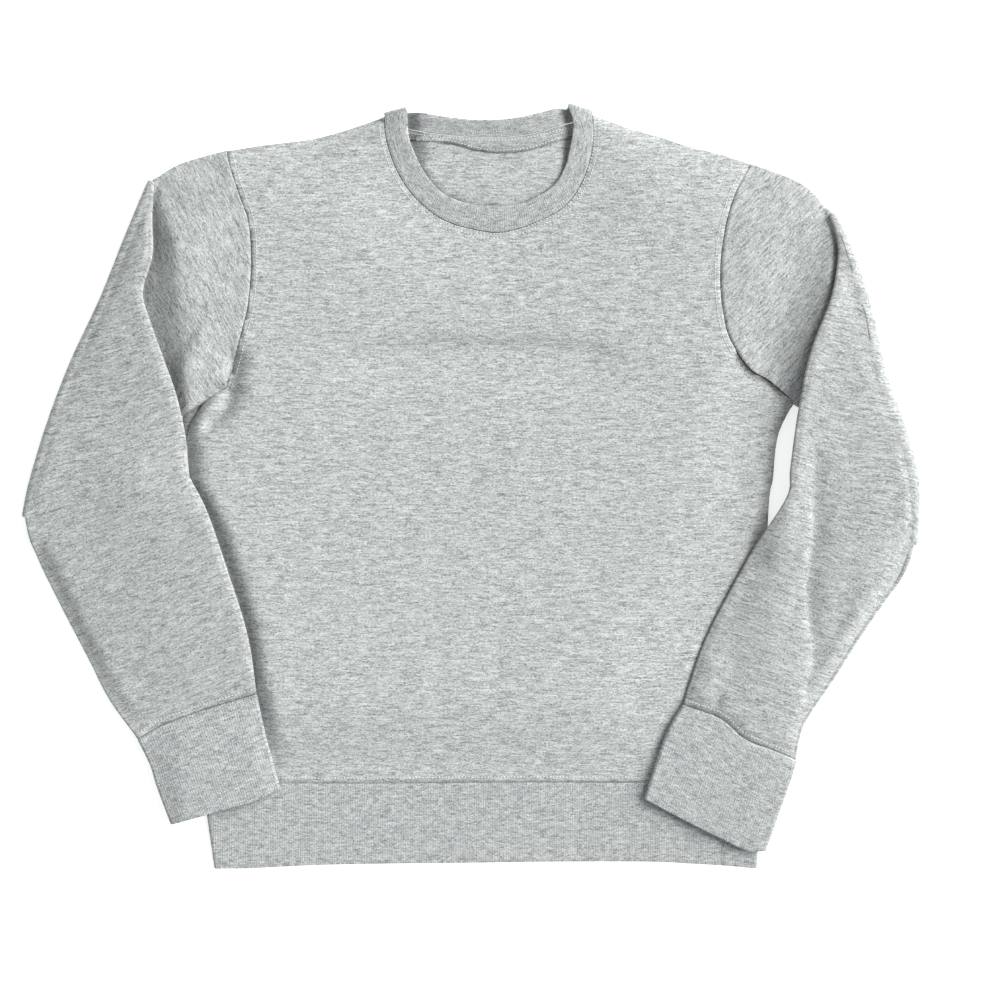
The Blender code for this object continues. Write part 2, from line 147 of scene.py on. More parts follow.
SIDE_LEFT: Table = (
    (-246, -272), (-248, -196), (-252, -104), (-256, -12), (-259, 30), (-259, 46), (-256.5, 57), (-251, 67),
    (-245, 76), (-237, 83), (-224, 91),
)
BACK_SIDE_LEFT: Table = (*SIDE_LEFT[:5], (-263, 50), (-263, 67), (-246, 77), (-224, 89.5))
ARMPIT_LEFT: Table = ((-216, 116), (-218, 96), (-220, 82), (-225, 71), (-236, 61), (-256, 53))
ARMPIT_RIGHT: Table = ((240, 124), (250, 109), (261, 99), (276, 92), (292, 75))
# Lines beside the folded right sleeve that the body sags towards, and how much of its loft it loses there.
SAGS: tuple[tuple[Table, float], ...] = (
    (
        (
            (288, 62), (278, 10), (272, -30), (262, -52), (250, -75), (232, -104), (215, -130), (204, -160),
            (193, -196), (180, -225), (165, -270),
        ),
        0.55,
    ),
    (((333, 205), (324, 160), (306, 110), (290, 66)), 0.3),
)
SIDE_RIGHT: Table = ((267, -272), (270, -150), (274, -22), (278, 6), (282, 43), (290, 64), (298, 77))
HEM_SEAM: Table = ((-246, -272), (-108, -272.9), (2, -271.9), (101, -271.8), (162, -272.3), (267, -272))
HEM_EDGE: Table = (
    (-235, -351), (-200, -350.5), (-150, -348), (-92, -346.5), (0, -345.5), (74, -344.5), (165, -344.5),
    (207, -346.5), (239, -348.5), (264, -351),
)


# --- plan geometry


def ease(value: np.ndarray) -> np.ndarray:
    """Return 0 below 0, 1 above 1, and a smooth step between."""
    value = np.clip(value, 0.0, 1.0)
    return value * value * (3 - 2 * value)


def bulge(value: np.ndarray) -> np.ndarray:
    """Return 0 below 0, 1 above 1, and between them a curve that is steepest at 0, as a cushion's."""
    return 1 - (1 - np.clip(value, 0.0, 1.0)) ** 2


def unit(vectors: np.ndarray, least: float = 0.0) -> np.ndarray:
    """Return vectors of length 1 along these, with a least length added where some may be nil."""
    return vectors / (np.linalg.norm(vectors, axis=-1, keepdims=True) + least)


def raised(plan: np.ndarray, height: np.ndarray) -> np.ndarray:
    """Return plan points as points in space."""
    return np.concatenate([plan, height[..., None]], axis=-1)


def closed(outline: np.ndarray) -> np.ndarray:
    """Return an outline with its first point repeated at its end."""
    return np.vstack([outline, outline[:1]])


def run(line: np.ndarray) -> np.ndarray:
    """Return how far along a line each of its points lies."""
    return np.concatenate([[0.0], np.cumsum(np.linalg.norm(np.diff(line, axis=0), axis=1))])


def near(away: np.ndarray, reach: np.ndarray | float) -> np.ndarray:
    """Return 1 at no distance, 0 from the reach on, and a smooth step between."""
    return 1 - ease(away / reach)


def bell(away: np.ndarray, width: np.ndarray | float) -> np.ndarray:
    """Return 1 at no distance, fading out on both sides over this width."""
    return np.exp(-((away / width) ** 2))


def even(points: np.ndarray, steps: int) -> np.ndarray:
    """Return steps + 1 points at even lengths along a line."""
    lengths = run(points)
    places = np.linspace(0.0, lengths[-1], steps + 1)
    return np.stack([np.interp(places, lengths, column) for column in points.T], axis=1)


def curve(table: Table, steps: int = 160) -> np.ndarray:
    """Return steps + 1 even points on a smooth curve (Catmull-Rom) through a table's points."""
    knots = np.array(table, float)
    knots = np.vstack([2 * knots[0] - knots[1], knots, 2 * knots[-1] - knots[-2]])
    before, start, end, after = knots[:-3], knots[1:-2], knots[2:-1], knots[3:]
    t = np.linspace(0.0, 1.0, 24, endpoint=False)[:, None, None]
    fine = 0.5 * (
        2 * start + (end - before) * t
        + (2 * before - 5 * start + 4 * end - after) * t ** 2
        + (3 * start - before - 3 * end + after) * t ** 3
    )
    fine = fine.transpose(1, 0, 2).reshape(-1, knots.shape[1])
    return even(np.vstack([fine, knots[-2]]), steps)


def spread(values: tuple[float, ...] | np.ndarray, shares: np.ndarray) -> np.ndarray:
    """Return what values at even steps come to at these shares, 0 to 1, of their row."""
    return np.interp(shares, np.linspace(0.0, 1.0, len(values)), values)


def at(line: np.ndarray, shares: np.ndarray) -> np.ndarray:
    """Return the points at these shares, 0 to 1, of an evenly divided line."""
    return np.stack([spread(column, shares) for column in line.T], axis=-1)


def sideways(line: np.ndarray, offset: float) -> np.ndarray:
    """Return a line moved to the left of its direction where the offset is positive."""
    along = unit(np.gradient(line, axis=0))
    return line + np.stack([-along[:, 1], along[:, 0]], axis=1) * offset


def trimmed(line: np.ndarray, room: float) -> np.ndarray:
    """Return an evenly divided line without this length at each end."""
    share = room / run(line)[-1]
    return at(line, np.linspace(share, 1 - share, len(line)))


def nearest(points: np.ndarray, line: np.ndarray) -> tuple[np.ndarray, np.ndarray]:
    """Measure plan points against a line.

    Args:
        points: plan points, in an array of any shape that ends in x, y.
        line: the line's points.

    Returns:
        Each point's distance to the line, and its place along the line from 0 to 1.
    """
    flat = points.reshape(-1, 2)
    start, along = line[:-1], np.diff(line, axis=0)
    to = flat[:, None] - start[None]
    part = np.clip((to * along).sum(-1) / np.maximum((along ** 2).sum(-1), 1e-9), 0.0, 1.0)
    away = np.linalg.norm(to - part[..., None] * along, axis=-1)
    best = away.argmin(1)
    rows = np.arange(len(flat))
    place = (best + part[rows, best]) / len(along)
    return away[rows, best].reshape(points.shape[:-1]), place.reshape(points.shape[:-1])


def distance(points: np.ndarray, line: np.ndarray) -> np.ndarray:
    """Return how far plan points are from a line."""
    return nearest(points, line)[0]


def inside(points: np.ndarray, outline: np.ndarray) -> np.ndarray:
    """Say which plan points lie inside a closed outline."""
    found = np.zeros(points.shape[:-1], bool)
    x, y = points[..., 0], points[..., 1]
    for (x0, y0), (x1, y1) in zip(outline, np.roll(outline, -1, axis=0)):
        if y0 != y1:
            crosses = ((y0 > y) != (y1 > y)) & (x < x0 + (x1 - x0) * (y - y0) / (y1 - y0))
            found ^= crosses
    return found


def patch(
    bottom: np.ndarray, top: np.ndarray, left: np.ndarray, right: np.ndarray, u: np.ndarray, v: np.ndarray,
) -> np.ndarray:
    """Return plan points that fill four edges (a Coons patch).

    Args:
        bottom, top: the edges at v = 0 and v = 1, from left to right.
        left, right: the edges at u = 0 and u = 1, from bottom to top.
        u: the place across, for each row and column.
        v: the place along, for each row.
    """
    v = np.broadcast_to(v[:, None], u.shape)
    low, high = at(bottom, u), at(top, u)
    first, last = at(left, v), at(right, v)
    u, v = u[..., None], v[..., None]
    corners = (1 - v) * ((1 - u) * bottom[0] + u * bottom[-1]) + v * ((1 - u) * top[0] + u * top[-1])
    return (1 - v) * low + v * high + (1 - u) * first + u * last - corners


@dataclass(frozen=True)
class Crease:
    """A soft ridge or trough in cloth, along a smooth line in plan.

    Attributes:
        route: points of the line, millimetres.
        rise: height of the ridge at its middle, below zero for a trough.
        width: half its width.
        fade: share of its length over which each end dies out.
        lean: moves the crest to the left of its direction, as a share of its width.
    """

    route: Table
    rise: float
    width: float
    fade: float = 0.4
    lean: float = 0.0

    def height(self, points: np.ndarray) -> np.ndarray:
        """Return how much the crease raises each plan point."""
        line = curve(self.route, 40)
        away, place = nearest(points, line)
        tangent = at(np.gradient(line, axis=0), place)
        to = points - at(line, place)
        side = np.sign(tangent[..., 0] * to[..., 1] - tangent[..., 1] * to[..., 0])
        half = self.width * (1 + side * self.lean)
        ends = ease(np.minimum(place, 1 - place) / self.fade + 0.15)
        return self.rise * ends * bell(away, half)


def relief(points: np.ndarray, creases: tuple[Crease, ...]) -> np.ndarray:
    """Return the height that all the creases together add at each plan point."""
    total = np.zeros(points.shape[:-1])
    for crease in creases:
        total += crease.height(points)
    return total


@dataclass(frozen=True)
class Swell:
    """The smoothest surface through some posts, as a thin plate bends over them.

    Attributes:
        posts: points that it runs through. Columns: x, y, height.
    """

    posts: tuple[tuple[float, float, float], ...]

    def height(self, points: np.ndarray) -> np.ndarray:
        """Return its height at each plan point."""
        posts = np.array(self.posts)
        count = len(posts)
        level = np.column_stack([np.ones(count), posts[:, :2]])
        system = np.zeros((count + 3, count + 3))
        system[:count, :count] = self.bending(posts[:, :2], posts[:, :2])
        system[:count, count:], system[count:, :count] = level, level.T
        weights = np.linalg.solve(system, np.concatenate([posts[:, 2], np.zeros(3)]))
        flat = points.reshape(-1, 2)
        heights = self.bending(flat, posts[:, :2]) @ weights[:count]
        heights += weights[count] + flat @ weights[count + 1:]
        return heights.reshape(points.shape[:-1])

    @staticmethod
    def bending(points: np.ndarray, posts: np.ndarray) -> np.ndarray:
        """Return how far each post bends the plate at each point, for a unit of load."""
        square = ((points[:, None] - posts[None]) ** 2).sum(-1) + 1.0
        return square * np.log(square)


@dataclass
class Support:
    """Something that cloth lies on: its plan outline and the height of its top."""

    outline: np.ndarray
    top: float


def drape(points: np.ndarray, supports: list[Support]) -> np.ndarray:
    """Return how far above the surface the underside of cloth lies at each plan point."""
    lift = np.zeros(points.shape[:-1])
    for support in supports:
        away = distance(points, closed(support.outline))
        away[inside(points, support.outline)] = 0.0
        share = near(away - DRAPE_SHELF, DRAPE_FOOT - DRAPE_SHELF)
        lift = np.maximum(lift, (support.top + REST_GAP) * share)
    return lift


# --- finishes


def adjust(node: bpy.types.Node, values: dict[str, object]) -> None:
    """Set a node's inputs."""
    for name, value in values.items():
        node.inputs[name].default_value = value


def new_material(name: str, values: dict[str, object]) -> tuple[bpy.types.Material, bpy.types.Node]:
    """Return a new material and its shader, which has these inputs."""
    material = bpy.data.materials.new(name)
    material.use_nodes = True
    shader = material.node_tree.nodes["Principled BSDF"]
    adjust(shader, values)
    return material, shader


@dataclass(frozen=True)
class HeatherKnit:
    """Knit of light and dark fibres spun together, which shows as short wavy streaks along the courses.

    Attributes:
        name: the material's name.
        slot: the record's material slot.
        light, dark: colours of the palest and the darkest fibres, linear.
        streak: length and height of a streak, metres.
        parting: the narrower, the more the light and the dark fibres part.
        rib: distance between the ribs, metres, or 0 for a plain knit.
        nap: depth of the knit's bump, metres.
        fine, patches: size of the fine fibres and of the paler patches, as shares of a streak's.
        weights: how much the streaks, the fine fibres and the patches count.
    """

    name: str
    slot: str
    light: tuple[float, float, float]
    dark: tuple[float, float, float]
    streak: tuple[float, float] = (0.0085, 0.0016)
    parting: float = 0.32
    rib: float = 0.0
    nap: float = 0.00035
    fine: tuple[float, float] = (0.21, 0.68)
    patches: tuple[float, float] = (2.6, 3.2)
    weights: tuple[float, float, float] = (0.75, 0.95, 0.3)

    def build(self) -> bpy.types.Material:
        """Return the material."""
        material, shader = new_material(
            self.name,
            {"Roughness": 0.92, "Specular IOR Level": 0.25, "Sheen Weight": 0.12, "Sheen Roughness": 0.5},
        )
        nodes, links = material.node_tree.nodes, material.node_tree.links
        cloth = nodes.new("ShaderNodeUVMap")
        cloth.uv_map = CLOTH_UV
        streaks, fine, patches = (
            self.noise(nodes, links, cloth, (self.streak[0] * share[0], self.streak[1] * share[1]), distortion)
            for share, distortion in (((1.0, 1.0), 0.7), (self.fine, 0.8), (self.patches, 0.3))
        )
        blend = self.weighted(nodes, links, zip((streaks, fine, patches), self.weights))
        ramp = nodes.new("ShaderNodeMapRange")
        adjust(ramp, {"From Min": 1.0 - self.parting, "From Max": 1.0 + self.parting})
        links.new(blend, ramp.inputs["Value"])
        mix = nodes.new("ShaderNodeMix")
        mix.data_type = "RGBA"
        adjust(mix, {"A": (*self.dark, 1.0), "B": (*self.light, 1.0)})
        links.new(ramp.outputs["Result"], mix.inputs["Factor"])
        links.new(mix.outputs["Result"], shader.inputs["Base Color"])
        bump = nodes.new("ShaderNodeBump")
        adjust(bump, {"Strength": 1.0, "Distance": self.nap})
        links.new(self.surface(nodes, links, cloth, fine, streaks), bump.inputs["Height"])
        links.new(bump.outputs["Normal"], shader.inputs["Normal"])
        return material

    @staticmethod
    def noise(nodes, links, cloth, size: tuple[float, float], distortion: float):
        """Return the output of a noise whose grains have this length and height, in metres."""
        mapping = nodes.new("ShaderNodeMapping")
        mapping.inputs["Scale"].default_value = (1 / size[0], 1 / size[1], 1.0)
        links.new(cloth.outputs["UV"], mapping.inputs["Vector"])
        texture = nodes.new("ShaderNodeTexNoise")
        texture.noise_dimensions = "2D"
        adjust(texture, {"Scale": 1.0, "Detail": 1.0, "Roughness": 0.55, "Distortion": distortion})
        links.new(mapping.outputs["Vector"], texture.inputs["Vector"])
        return texture.outputs["Fac"]

    @staticmethod
    def weighted(nodes, links, parts):
        """Return the output that sums the parts, each an output and its weight."""
        total = None
        for output, weight in parts:
            scaled = nodes.new("ShaderNodeMath")
            scaled.operation = "MULTIPLY_ADD"
            scaled.inputs[1].default_value = weight
            scaled.inputs[2].default_value = 0.0
            links.new(output, scaled.inputs[0])
            if total is not None:
                links.new(total, scaled.inputs[2])
            total = scaled.outputs[0]
        return total

    def surface(self, nodes, links, cloth, fine, streaks):
        """Return the height of the knit: its grain, and its ribs where it has them."""
        if not self.rib:
            return self.weighted(nodes, links, ((fine, 0.8), (streaks, 0.3)))
        wave = nodes.new("ShaderNodeTexWave")
        wave.wave_type = "BANDS"
        wave.bands_direction = "X"
        adjust(wave, {"Scale": math.pi / 10 / self.rib, "Distortion": 0.6, "Detail": 1.0})
        links.new(cloth.outputs["UV"], wave.inputs["Vector"])
        return self.weighted(nodes, links, ((fine, 0.7), (wave.outputs["Fac"], 0.35)))


@dataclass(frozen=True)
class Thread:
    """Plain spun sewing thread.

    Attributes:
        name: the material's name.
        slot: the record's material slot.
        colour: linear.
    """

    name: str
    slot: str
    colour: tuple[float, float, float]

    def build(self) -> bpy.types.Material:
        """Return the material."""
        return new_material(self.name, {"Base Color": (*self.colour, 1.0), "Roughness": 0.8})[0]


class Finish(Enum):
    """The finishes of the garment's pieces."""

    FLEECE = HeatherKnit("fleece_knit", "fleece", light=(0.60, 0.622, 0.611), dark=(0.19, 0.20, 0.20))
    # The sleeves are the body's fleece with darker colours: painted shade, not a different cloth.
    SLEEVE = HeatherKnit("sleeve_knit_painted_shade", "fleece", light=(0.555, 0.576, 0.566), dark=(0.175, 0.184, 0.184))
    RIB = HeatherKnit(
        "rib_knit", "rib", light=(0.54, 0.562, 0.555), dark=(0.17, 0.18, 0.18), streak=(0.0055, 0.0016),
        rib=0.0021,
    )
    TAPE = HeatherKnit(
        "tape_jersey", "tape", light=(0.52, 0.54, 0.535), dark=(0.17, 0.18, 0.18), streak=(0.005, 0.0014),
    )
    THREAD = Thread("sewing_thread", "fleece", (0.68, 0.70, 0.69))

    @property
    def slot(self) -> str:
        """The record's material slot."""
        return self.value.slot

    @property
    def material(self) -> bpy.types.Material:
        """The material, made once."""
        return bpy.data.materials.get(self.value.name) or self.value.build()


# --- meshes


def show(name: str, data: bpy.types.ID) -> bpy.types.Object:
    """Return a new object in the scene."""
    thing = bpy.data.objects.new(name, data)
    bpy.context.scene.collection.objects.link(thing)
    return thing


def dress(work: bmesh.types.BMesh, name: str, finish: Finish) -> bpy.types.Object:
    """Turn a mesh in millimetres into a named, smooth piece in metres with its finish."""
    for vertex in work.verts:
        vertex.co *= METRES
    for face in work.faces:
        face.smooth = True
    mesh = bpy.data.meshes.new(name)
    work.to_mesh(mesh)
    work.free()
    mesh.materials.append(finish.material)
    return show(name, mesh)


def lattice(rows: np.ndarray, cloth: np.ndarray) -> bmesh.types.BMesh:
    """Return a grid moved to these rows of points, with the cloth's own coordinates as its UVs.

    Args:
        rows: rows, columns, x y z.
        cloth: rows, columns, u v in millimetres of the flat cloth.
    """
    steps, columns = rows.shape[0] - 1, rows.shape[1] - 1
    work = bmesh.new()
    bmesh.ops.create_grid(work, x_segments=columns, y_segments=steps, size=0.5)
    layer = work.loops.layers.uv.new(CLOTH_UV)
    places, flat = rows.tolist(), (cloth * METRES).tolist()
    for vertex in work.verts:
        row = round((vertex.co.y + 0.5) * steps)
        column = round((vertex.co.x + 0.5) * columns)
        for loop in vertex.link_loops:
            loop[layer].uv = flat[row][column]
        vertex.co = places[row][column]
    return work


def ring_walls(middle: np.ndarray, cloth: np.ndarray, wall: float, rim: int) -> tuple[np.ndarray, np.ndarray]:
    """Return the closed skin of a tube of cloth from the middle of its wall.

    Args:
        middle: rows along the tube, closed loops of points round it.
        cloth: the cloth's own coordinates at those points.
        wall: its thickness.
        rim: steps round the last row's end, which is a rounded fold, or 0 for a cut edge.

    Returns:
        Rows of points and rows of cloth coordinates, down the outside, round the end, up the inside
        and round the start, with the first column repeated at the end.
    """
    along = np.gradient(middle, axis=0)
    normal = unit(np.cross(np.roll(middle, -1, axis=1) - np.roll(middle, 1, axis=1), along), TINY)
    centre = middle.mean(axis=1, keepdims=True)
    if ((middle - centre) * normal).sum() < 0:
        normal = -normal
    half = wall / 2
    outer, inner = middle + normal * half, (middle - normal * half)[::-1]
    way = unit(along[-1], TINY)
    arc = np.empty((rim, *middle.shape[1:]))
    for step in range(rim):
        angle = math.pi * (step + 1) / (rim + 1)
        arc[step] = middle[-1] + normal[-1] * half * math.cos(angle) + way * half * math.sin(angle)
    rows = np.concatenate([outer, arc, inner, outer[:1]])
    flat = np.concatenate([cloth, np.repeat(cloth[-1:], rim, axis=0), cloth[::-1], cloth[:1]])
    return np.concatenate([rows, rows[:, :1]], axis=1), np.concatenate([flat, flat[:, :1]], axis=1)


def tube(
    name: str, middle: np.ndarray, cloth: np.ndarray, wall: float, finish: Finish, rim: int = 0,
) -> bpy.types.Object:
    """Make a tube of cloth, open at both ends, from the middle of its wall (see ring_walls)."""
    rows, flat = ring_walls(middle, cloth, wall, rim)
    rows[..., 2] = np.maximum(rows[..., 2], 0.0)
    work = lattice(rows, flat)
    bmesh.ops.remove_doubles(work, verts=work.verts, dist=1e-4)
    bmesh.ops.recalc_face_normals(work, faces=work.faces)
    return dress(work, name, finish)


def arcs(upper: np.ndarray, lower: np.ndarray, outward: np.ndarray, steps: int) -> np.ndarray:
    """Return the points between two layers' edges, round the outside, for each row."""
    centre, arm = (upper + lower) / 2, (upper - lower) / 2
    reach = np.minimum(np.linalg.norm(arm, axis=1, keepdims=True), EDGE_REACH)
    angles = np.pi * np.arange(1, steps) / steps
    points = [centre + arm * math.cos(angle) + outward * reach * math.sin(angle) for angle in angles]
    return np.stack(points, axis=1)


def joined(over: np.ndarray, under: np.ndarray, ways: list[np.ndarray], steps: int) -> np.ndarray:
    """Return the closed loops of a flat tube from its two layers.

    Args:
        over, under: rows of points across the upper and the lower layer.
        ways: directions out of the layers' last and first edges.
        steps: steps round each edge.
    """
    last = arcs(over[:, -1], under[:, -1], ways[0], steps)
    first = arcs(under[:, 0], over[:, 0], ways[1], steps)
    return np.concatenate([over, last, under[:, ::-1], first], axis=1)


def cut_panel(
    name: str, outline: np.ndarray, rings: tuple[float, ...], cell: float,
    height: Callable[[np.ndarray], np.ndarray], wall: float, finish: Finish, grain: tuple[float, float],
) -> bpy.types.Object:
    """Make a flat cut piece of cloth, raised to a height and given a wall.

    Args:
        name: the piece's name.
        outline: its closed outline in plan.
        rings: widths of the bands of faces that follow the edge.
        cell: size of the grid inside the bands.
        height: a function from plan points to the height of the wall's middle.
        wall: thickness.
        finish: its finish.
        grain: where the cloth's own coordinates start.
    """
    work = bmesh.new()
    middle = work.faces.new([work.verts.new((x, y, 0.0)) for x, y in outline])
    for ring in rings:
        bmesh.ops.inset_region(work, faces=[middle], thickness=ring, use_even_offset=True)
    low, high = outline.min(axis=0), outline.max(axis=0)
    region = [middle, *middle.edges, *middle.verts]
    for axis in (0, 1):
        across = Vector((1 - axis, axis, 0))
        lines = round((high[axis] - low[axis]) / cell)
        for line in range(1, lines):
            place = across * float(low[axis] + (high[axis] - low[axis]) * line / lines)
            cut = bmesh.ops.bisect_plane(work, geom=region, dist=1e-4, plane_co=place, plane_no=across)
            region = cut["geom"]
    layer = work.loops.layers.uv.new(CLOTH_UV)
    start = Vector(grain)
    for face in work.faces:
        for loop in face.loops:
            loop[layer].uv = (loop.vert.co.xy + start) * METRES
    plan = np.array([vertex.co.xy for vertex in work.verts])
    for vertex, rise in zip(work.verts, height(plan).tolist()):
        vertex.co.z = rise
    bmesh.ops.recalc_face_normals(work, faces=work.faces)
    if sum(face.normal.z for face in work.faces) < 0:
        bmesh.ops.reverse_faces(work, faces=work.faces)
    piece = dress(work, name, finish)
    solidify = piece.modifiers.new("wall", "SOLIDIFY")
    solidify.thickness = wall * METRES
    solidify.offset = 0.0
    return piece


def seam_dip(away: np.ndarray, depth: float = 0.6, ridge: float = 0.45, row: float = 0.0) -> np.ndarray:
    """Return the height of cloth near a seam: sunk at the stitches, raised over the turned edge.

    Args:
        away: distance from the seam.
        depth: of the seam's own groove.
        ridge: height of the turned edge.
        row: depth of the groove of a second row of stitches beyond the turned edge.
    """
    return ridge * bell(away - 2.5, 1.5) - depth * bell(away, 1.1) - row * bell(away - ROW_OFFSET, 0.9)


def loft(plan: np.ndarray) -> np.ndarray:
    """Return how much the air between the layers lifts the front of the body and of the upper sleeves."""
    reaches = [(SIDE_LEFT, SIDE_REACH), (SIDE_RIGHT, SIDE_REACH), (ARMPIT_LEFT, SIDE_REACH)]
    reaches += [(SHOULDER_LEFT, SHOULDER_REACH), (SHOULDER_RIGHT, SHOULDER_REACH)]
    for sleeve in (LEFT_SLEEVE, RIGHT_SLEEVE):
        reaches += [(sleeve.fold, sleeve.fold_reach), (sleeve.first_underarm, UNDERARM_REACH)]
        reaches += [(sleeve.shoulder_edge, SHOULDER_REACH)]
    share = np.ones(plan.shape[:-1])
    for table, reach in reaches:
        start = UNDERARM_FREE if reach == UNDERARM_REACH else 0.0
        share = np.minimum(share, start + distance(plan, curve(table, 40)) / reach)
    for sleeve in (LEFT_SLEEVE, RIGHT_SLEEVE):
        free = np.clip(sleeve.pressed(plan), 0.0, 1.0)
        share = np.minimum(share, 1 - (1 - free) ** PRESS_SHAPE)
    height = LOFT * bulge(share) * ease(distance(plan, curve(HEM_SEAM, 30)) / HEM_REACH)
    for table, amount in SAGS:
        height *= 1 - amount * near(distance(plan, curve(table, 40)), SAG_REACH)
    return height


def neck_pad(plan: np.ndarray) -> np.ndarray:
    """Return how much the back of the neck stands up at plan points."""
    edge = curve(NECK_EDGE_FRONT, 60)
    away = distance(plan, edge)
    away = np.where(inside(plan, edge), away, -away)
    lower = near(plan[..., 1] - NECK_HALF + NECK_BLEND / 2, NECK_BLEND)
    reach = NECK_PAD_REACH + (NECK_PAD_TUCK - NECK_PAD_REACH) * lower
    return NECK_PAD * ease((away + NECK_PAD_TUCK * lower) / reach)


# --- body


@dataclass
class Body:
    """The front and back panels and the hem band."""

    cell: float = 4.5
    rings: tuple[float, ...] = (0.7, 0.8, 1.0, 1.3, 1.2, 1.3, 1.7)
    back_cell: float = 6.0
    back_rings: tuple[float, ...] = (1.0, 2.0)
    side_height: float = 2.8        # where the front meets the back at the sides and the shoulders
    side_roll: float = 9.0          # it comes down to that over this width,
    side_round: float = 1.5         # the rounder, the higher this is
    armpit_roll: float = 3.5        # the left side is steeper below the armpit,
    armpit_from: float = 0.82       # from this share of its length on
    armhole_end: float = 4.2        # the panels' edges leave the armhole lines this far from their ends
    hem_seam: float = 229.5         # where the hem's rib is joined
    dips: ClassVar[dict[Table, tuple[float, float, float]]] = {     # see seam_dip
        NECK_SEAM_FRONT: (0.25, 0.35, 0.4),
        ARMHOLE_LEFT: (0.15, 0.25, 0.3),
        ARMHOLE_RIGHT: (0.15, 0.25, 0.3),
        HEM_SEAM: (0.3, 0.7, 0.3),
    }
    creases: tuple[Crease, ...] = (
        Crease(
            ((-140, 112), (-83, 122), (-37, 126), (28, 127), (83, 124), (120, 119), (165, 106)),
            -5.0, 24, 0.3, -0.6,
        ),
        Crease(((-253, 50), (-244, 64), (-234, 75), (-226, 84)), 7.0, 5.5, 0.2),
        Crease(ARMPIT_RIGHT, -5.0, 4.5, 0.2),
        Crease(((287, 66), (279, 52), (273, 15), (267, -12), (265, -30), (260, -52)), -3.2, 2.0, 0.1),
        Crease(((-28, -230), (-30, -150), (-26, -70)), -0.5, 9, 0.5),
        Crease(((28, -235), (26, -150), (30, -60)), -0.5, 8, 0.5),
    )

    def outline(self, neck_seam: Table, side_left: Table) -> np.ndarray:
        """Return a panel's closed outline, from the hem up the left side and down the right."""
        hem = sideways(curve(HEM_SEAM, 120), SEAM_GAP / 2)
        left = sideways(trimmed(curve(ARMHOLE_LEFT, 60), self.armhole_end), -SEAM_GAP / 2)
        right = sideways(trimmed(curve(ARMHOLE_RIGHT, 60), self.armhole_end), SEAM_GAP / 2)
        neck = sideways(curve(neck_seam, 90), -SEAM_GAP / 2)
        return np.vstack([
            hem[::-1], curve(side_left, 90)[1:], left, curve(SHOULDER_LEFT, 36)[:-1], neck,
            curve(SHOULDER_RIGHT, 36)[1:], right[::-1], curve(SIDE_RIGHT, 90)[::-1][:-1],
        ])

    def front_height(self, plan: np.ndarray) -> np.ndarray:
        """Return the height of the middle of the front panel's wall."""
        height = FRONT_MID + loft(plan)
        height += (NECK_PANEL_MID - height) * near(distance(plan, curve(NECK_SEAM_FRONT, 50)), NECK_LIFT_REACH)
        height += relief(plan, self.creases)
        for seam, dip in self.dips.items():
            height += seam_dip(distance(plan, curve(seam, 60)), *dip)
        for side in (SIDE_LEFT, SIDE_RIGHT, SHOULDER_LEFT, SHOULDER_RIGHT):
            away, place_on = nearest(plan, curve(side, 60))
            steep = ease((place_on - self.armpit_from) / 0.05) if side is SIDE_LEFT else 0.0
            roll = self.side_roll + (self.armpit_roll - self.side_roll) * steep
            height += (self.side_height - height) * near(away, roll) ** self.side_round
        return height

    def back_height(self, plan: np.ndarray) -> np.ndarray:
        """Return the height of the middle of the back panel's wall, which lies flat below the neck."""
        return BACK_MID + neck_pad(plan)

    def hem(self) -> bpy.types.Object:
        """Return the doubled rib at the hem, a tube that lies flat."""
        seam = trimmed(sideways(curve(HEM_SEAM, 200), -SEAM_GAP / 2), HEM_SIDE)
        edge = trimmed(sideways(curve(HEM_EDGE, 200), RIB / 2), HEM_SIDE)
        shares = np.array([0.0, 0.01, 0.025, 0.045, 0.08, *np.linspace(0.13, 1.0, 20)])
        plan = seam[None] + (edge - seam)[None] * shares[:, None, None]
        upper = HEM_FRONT_MID + seam_dip(shares[:, None] * HEM_RIB, 0.4, 0.2)
        upper = upper - bell(plan[..., 0] - self.hem_seam, 2.0)
        level = np.zeros(len(plan))
        ways = [raised(unit(plan[:, edge] - plan[:, inner]), level) for edge, inner in ((-1, -2), (0, 1))]
        middle = joined(raised(plan, upper), raised(plan, np.full(upper.shape, HEM_BACK_MID)), ways, 8)
        cloth = middle[..., :2] + np.array(GRAIN["hem"])
        piece = tube("hem_rib", middle, cloth, RIB, Finish.RIB, rim=5)
        return piece

    def build(self) -> None:
        """Make the body's pieces."""
        front = cut_panel(
            "front_cloth", self.outline(NECK_SEAM_FRONT, SIDE_LEFT), self.rings, self.cell, self.front_height,
            FLEECE, Finish.FLEECE, GRAIN["front"],
        )
        place(front, "front_panel", Finish.FLEECE)
        back = cut_panel(
            "back_cloth", self.outline(NECK_SEAM_BACK, BACK_SIDE_LEFT), self.back_rings, self.back_cell,
            self.back_height, FLEECE, Finish.FLEECE, GRAIN["back"],
        )
        place(back, "back_panel", Finish.FLEECE)
        place(self.hem(), "hem_band", Finish.RIB)


def place(piece: bpy.types.Object, node: str, finish: Finish) -> None:
    """Let a piece stand for its node and ride on the garment."""
    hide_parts(node)
    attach(piece, "root")
    finish.slot
    log.info("%s stands for %s", piece.name, node)


# --- neck


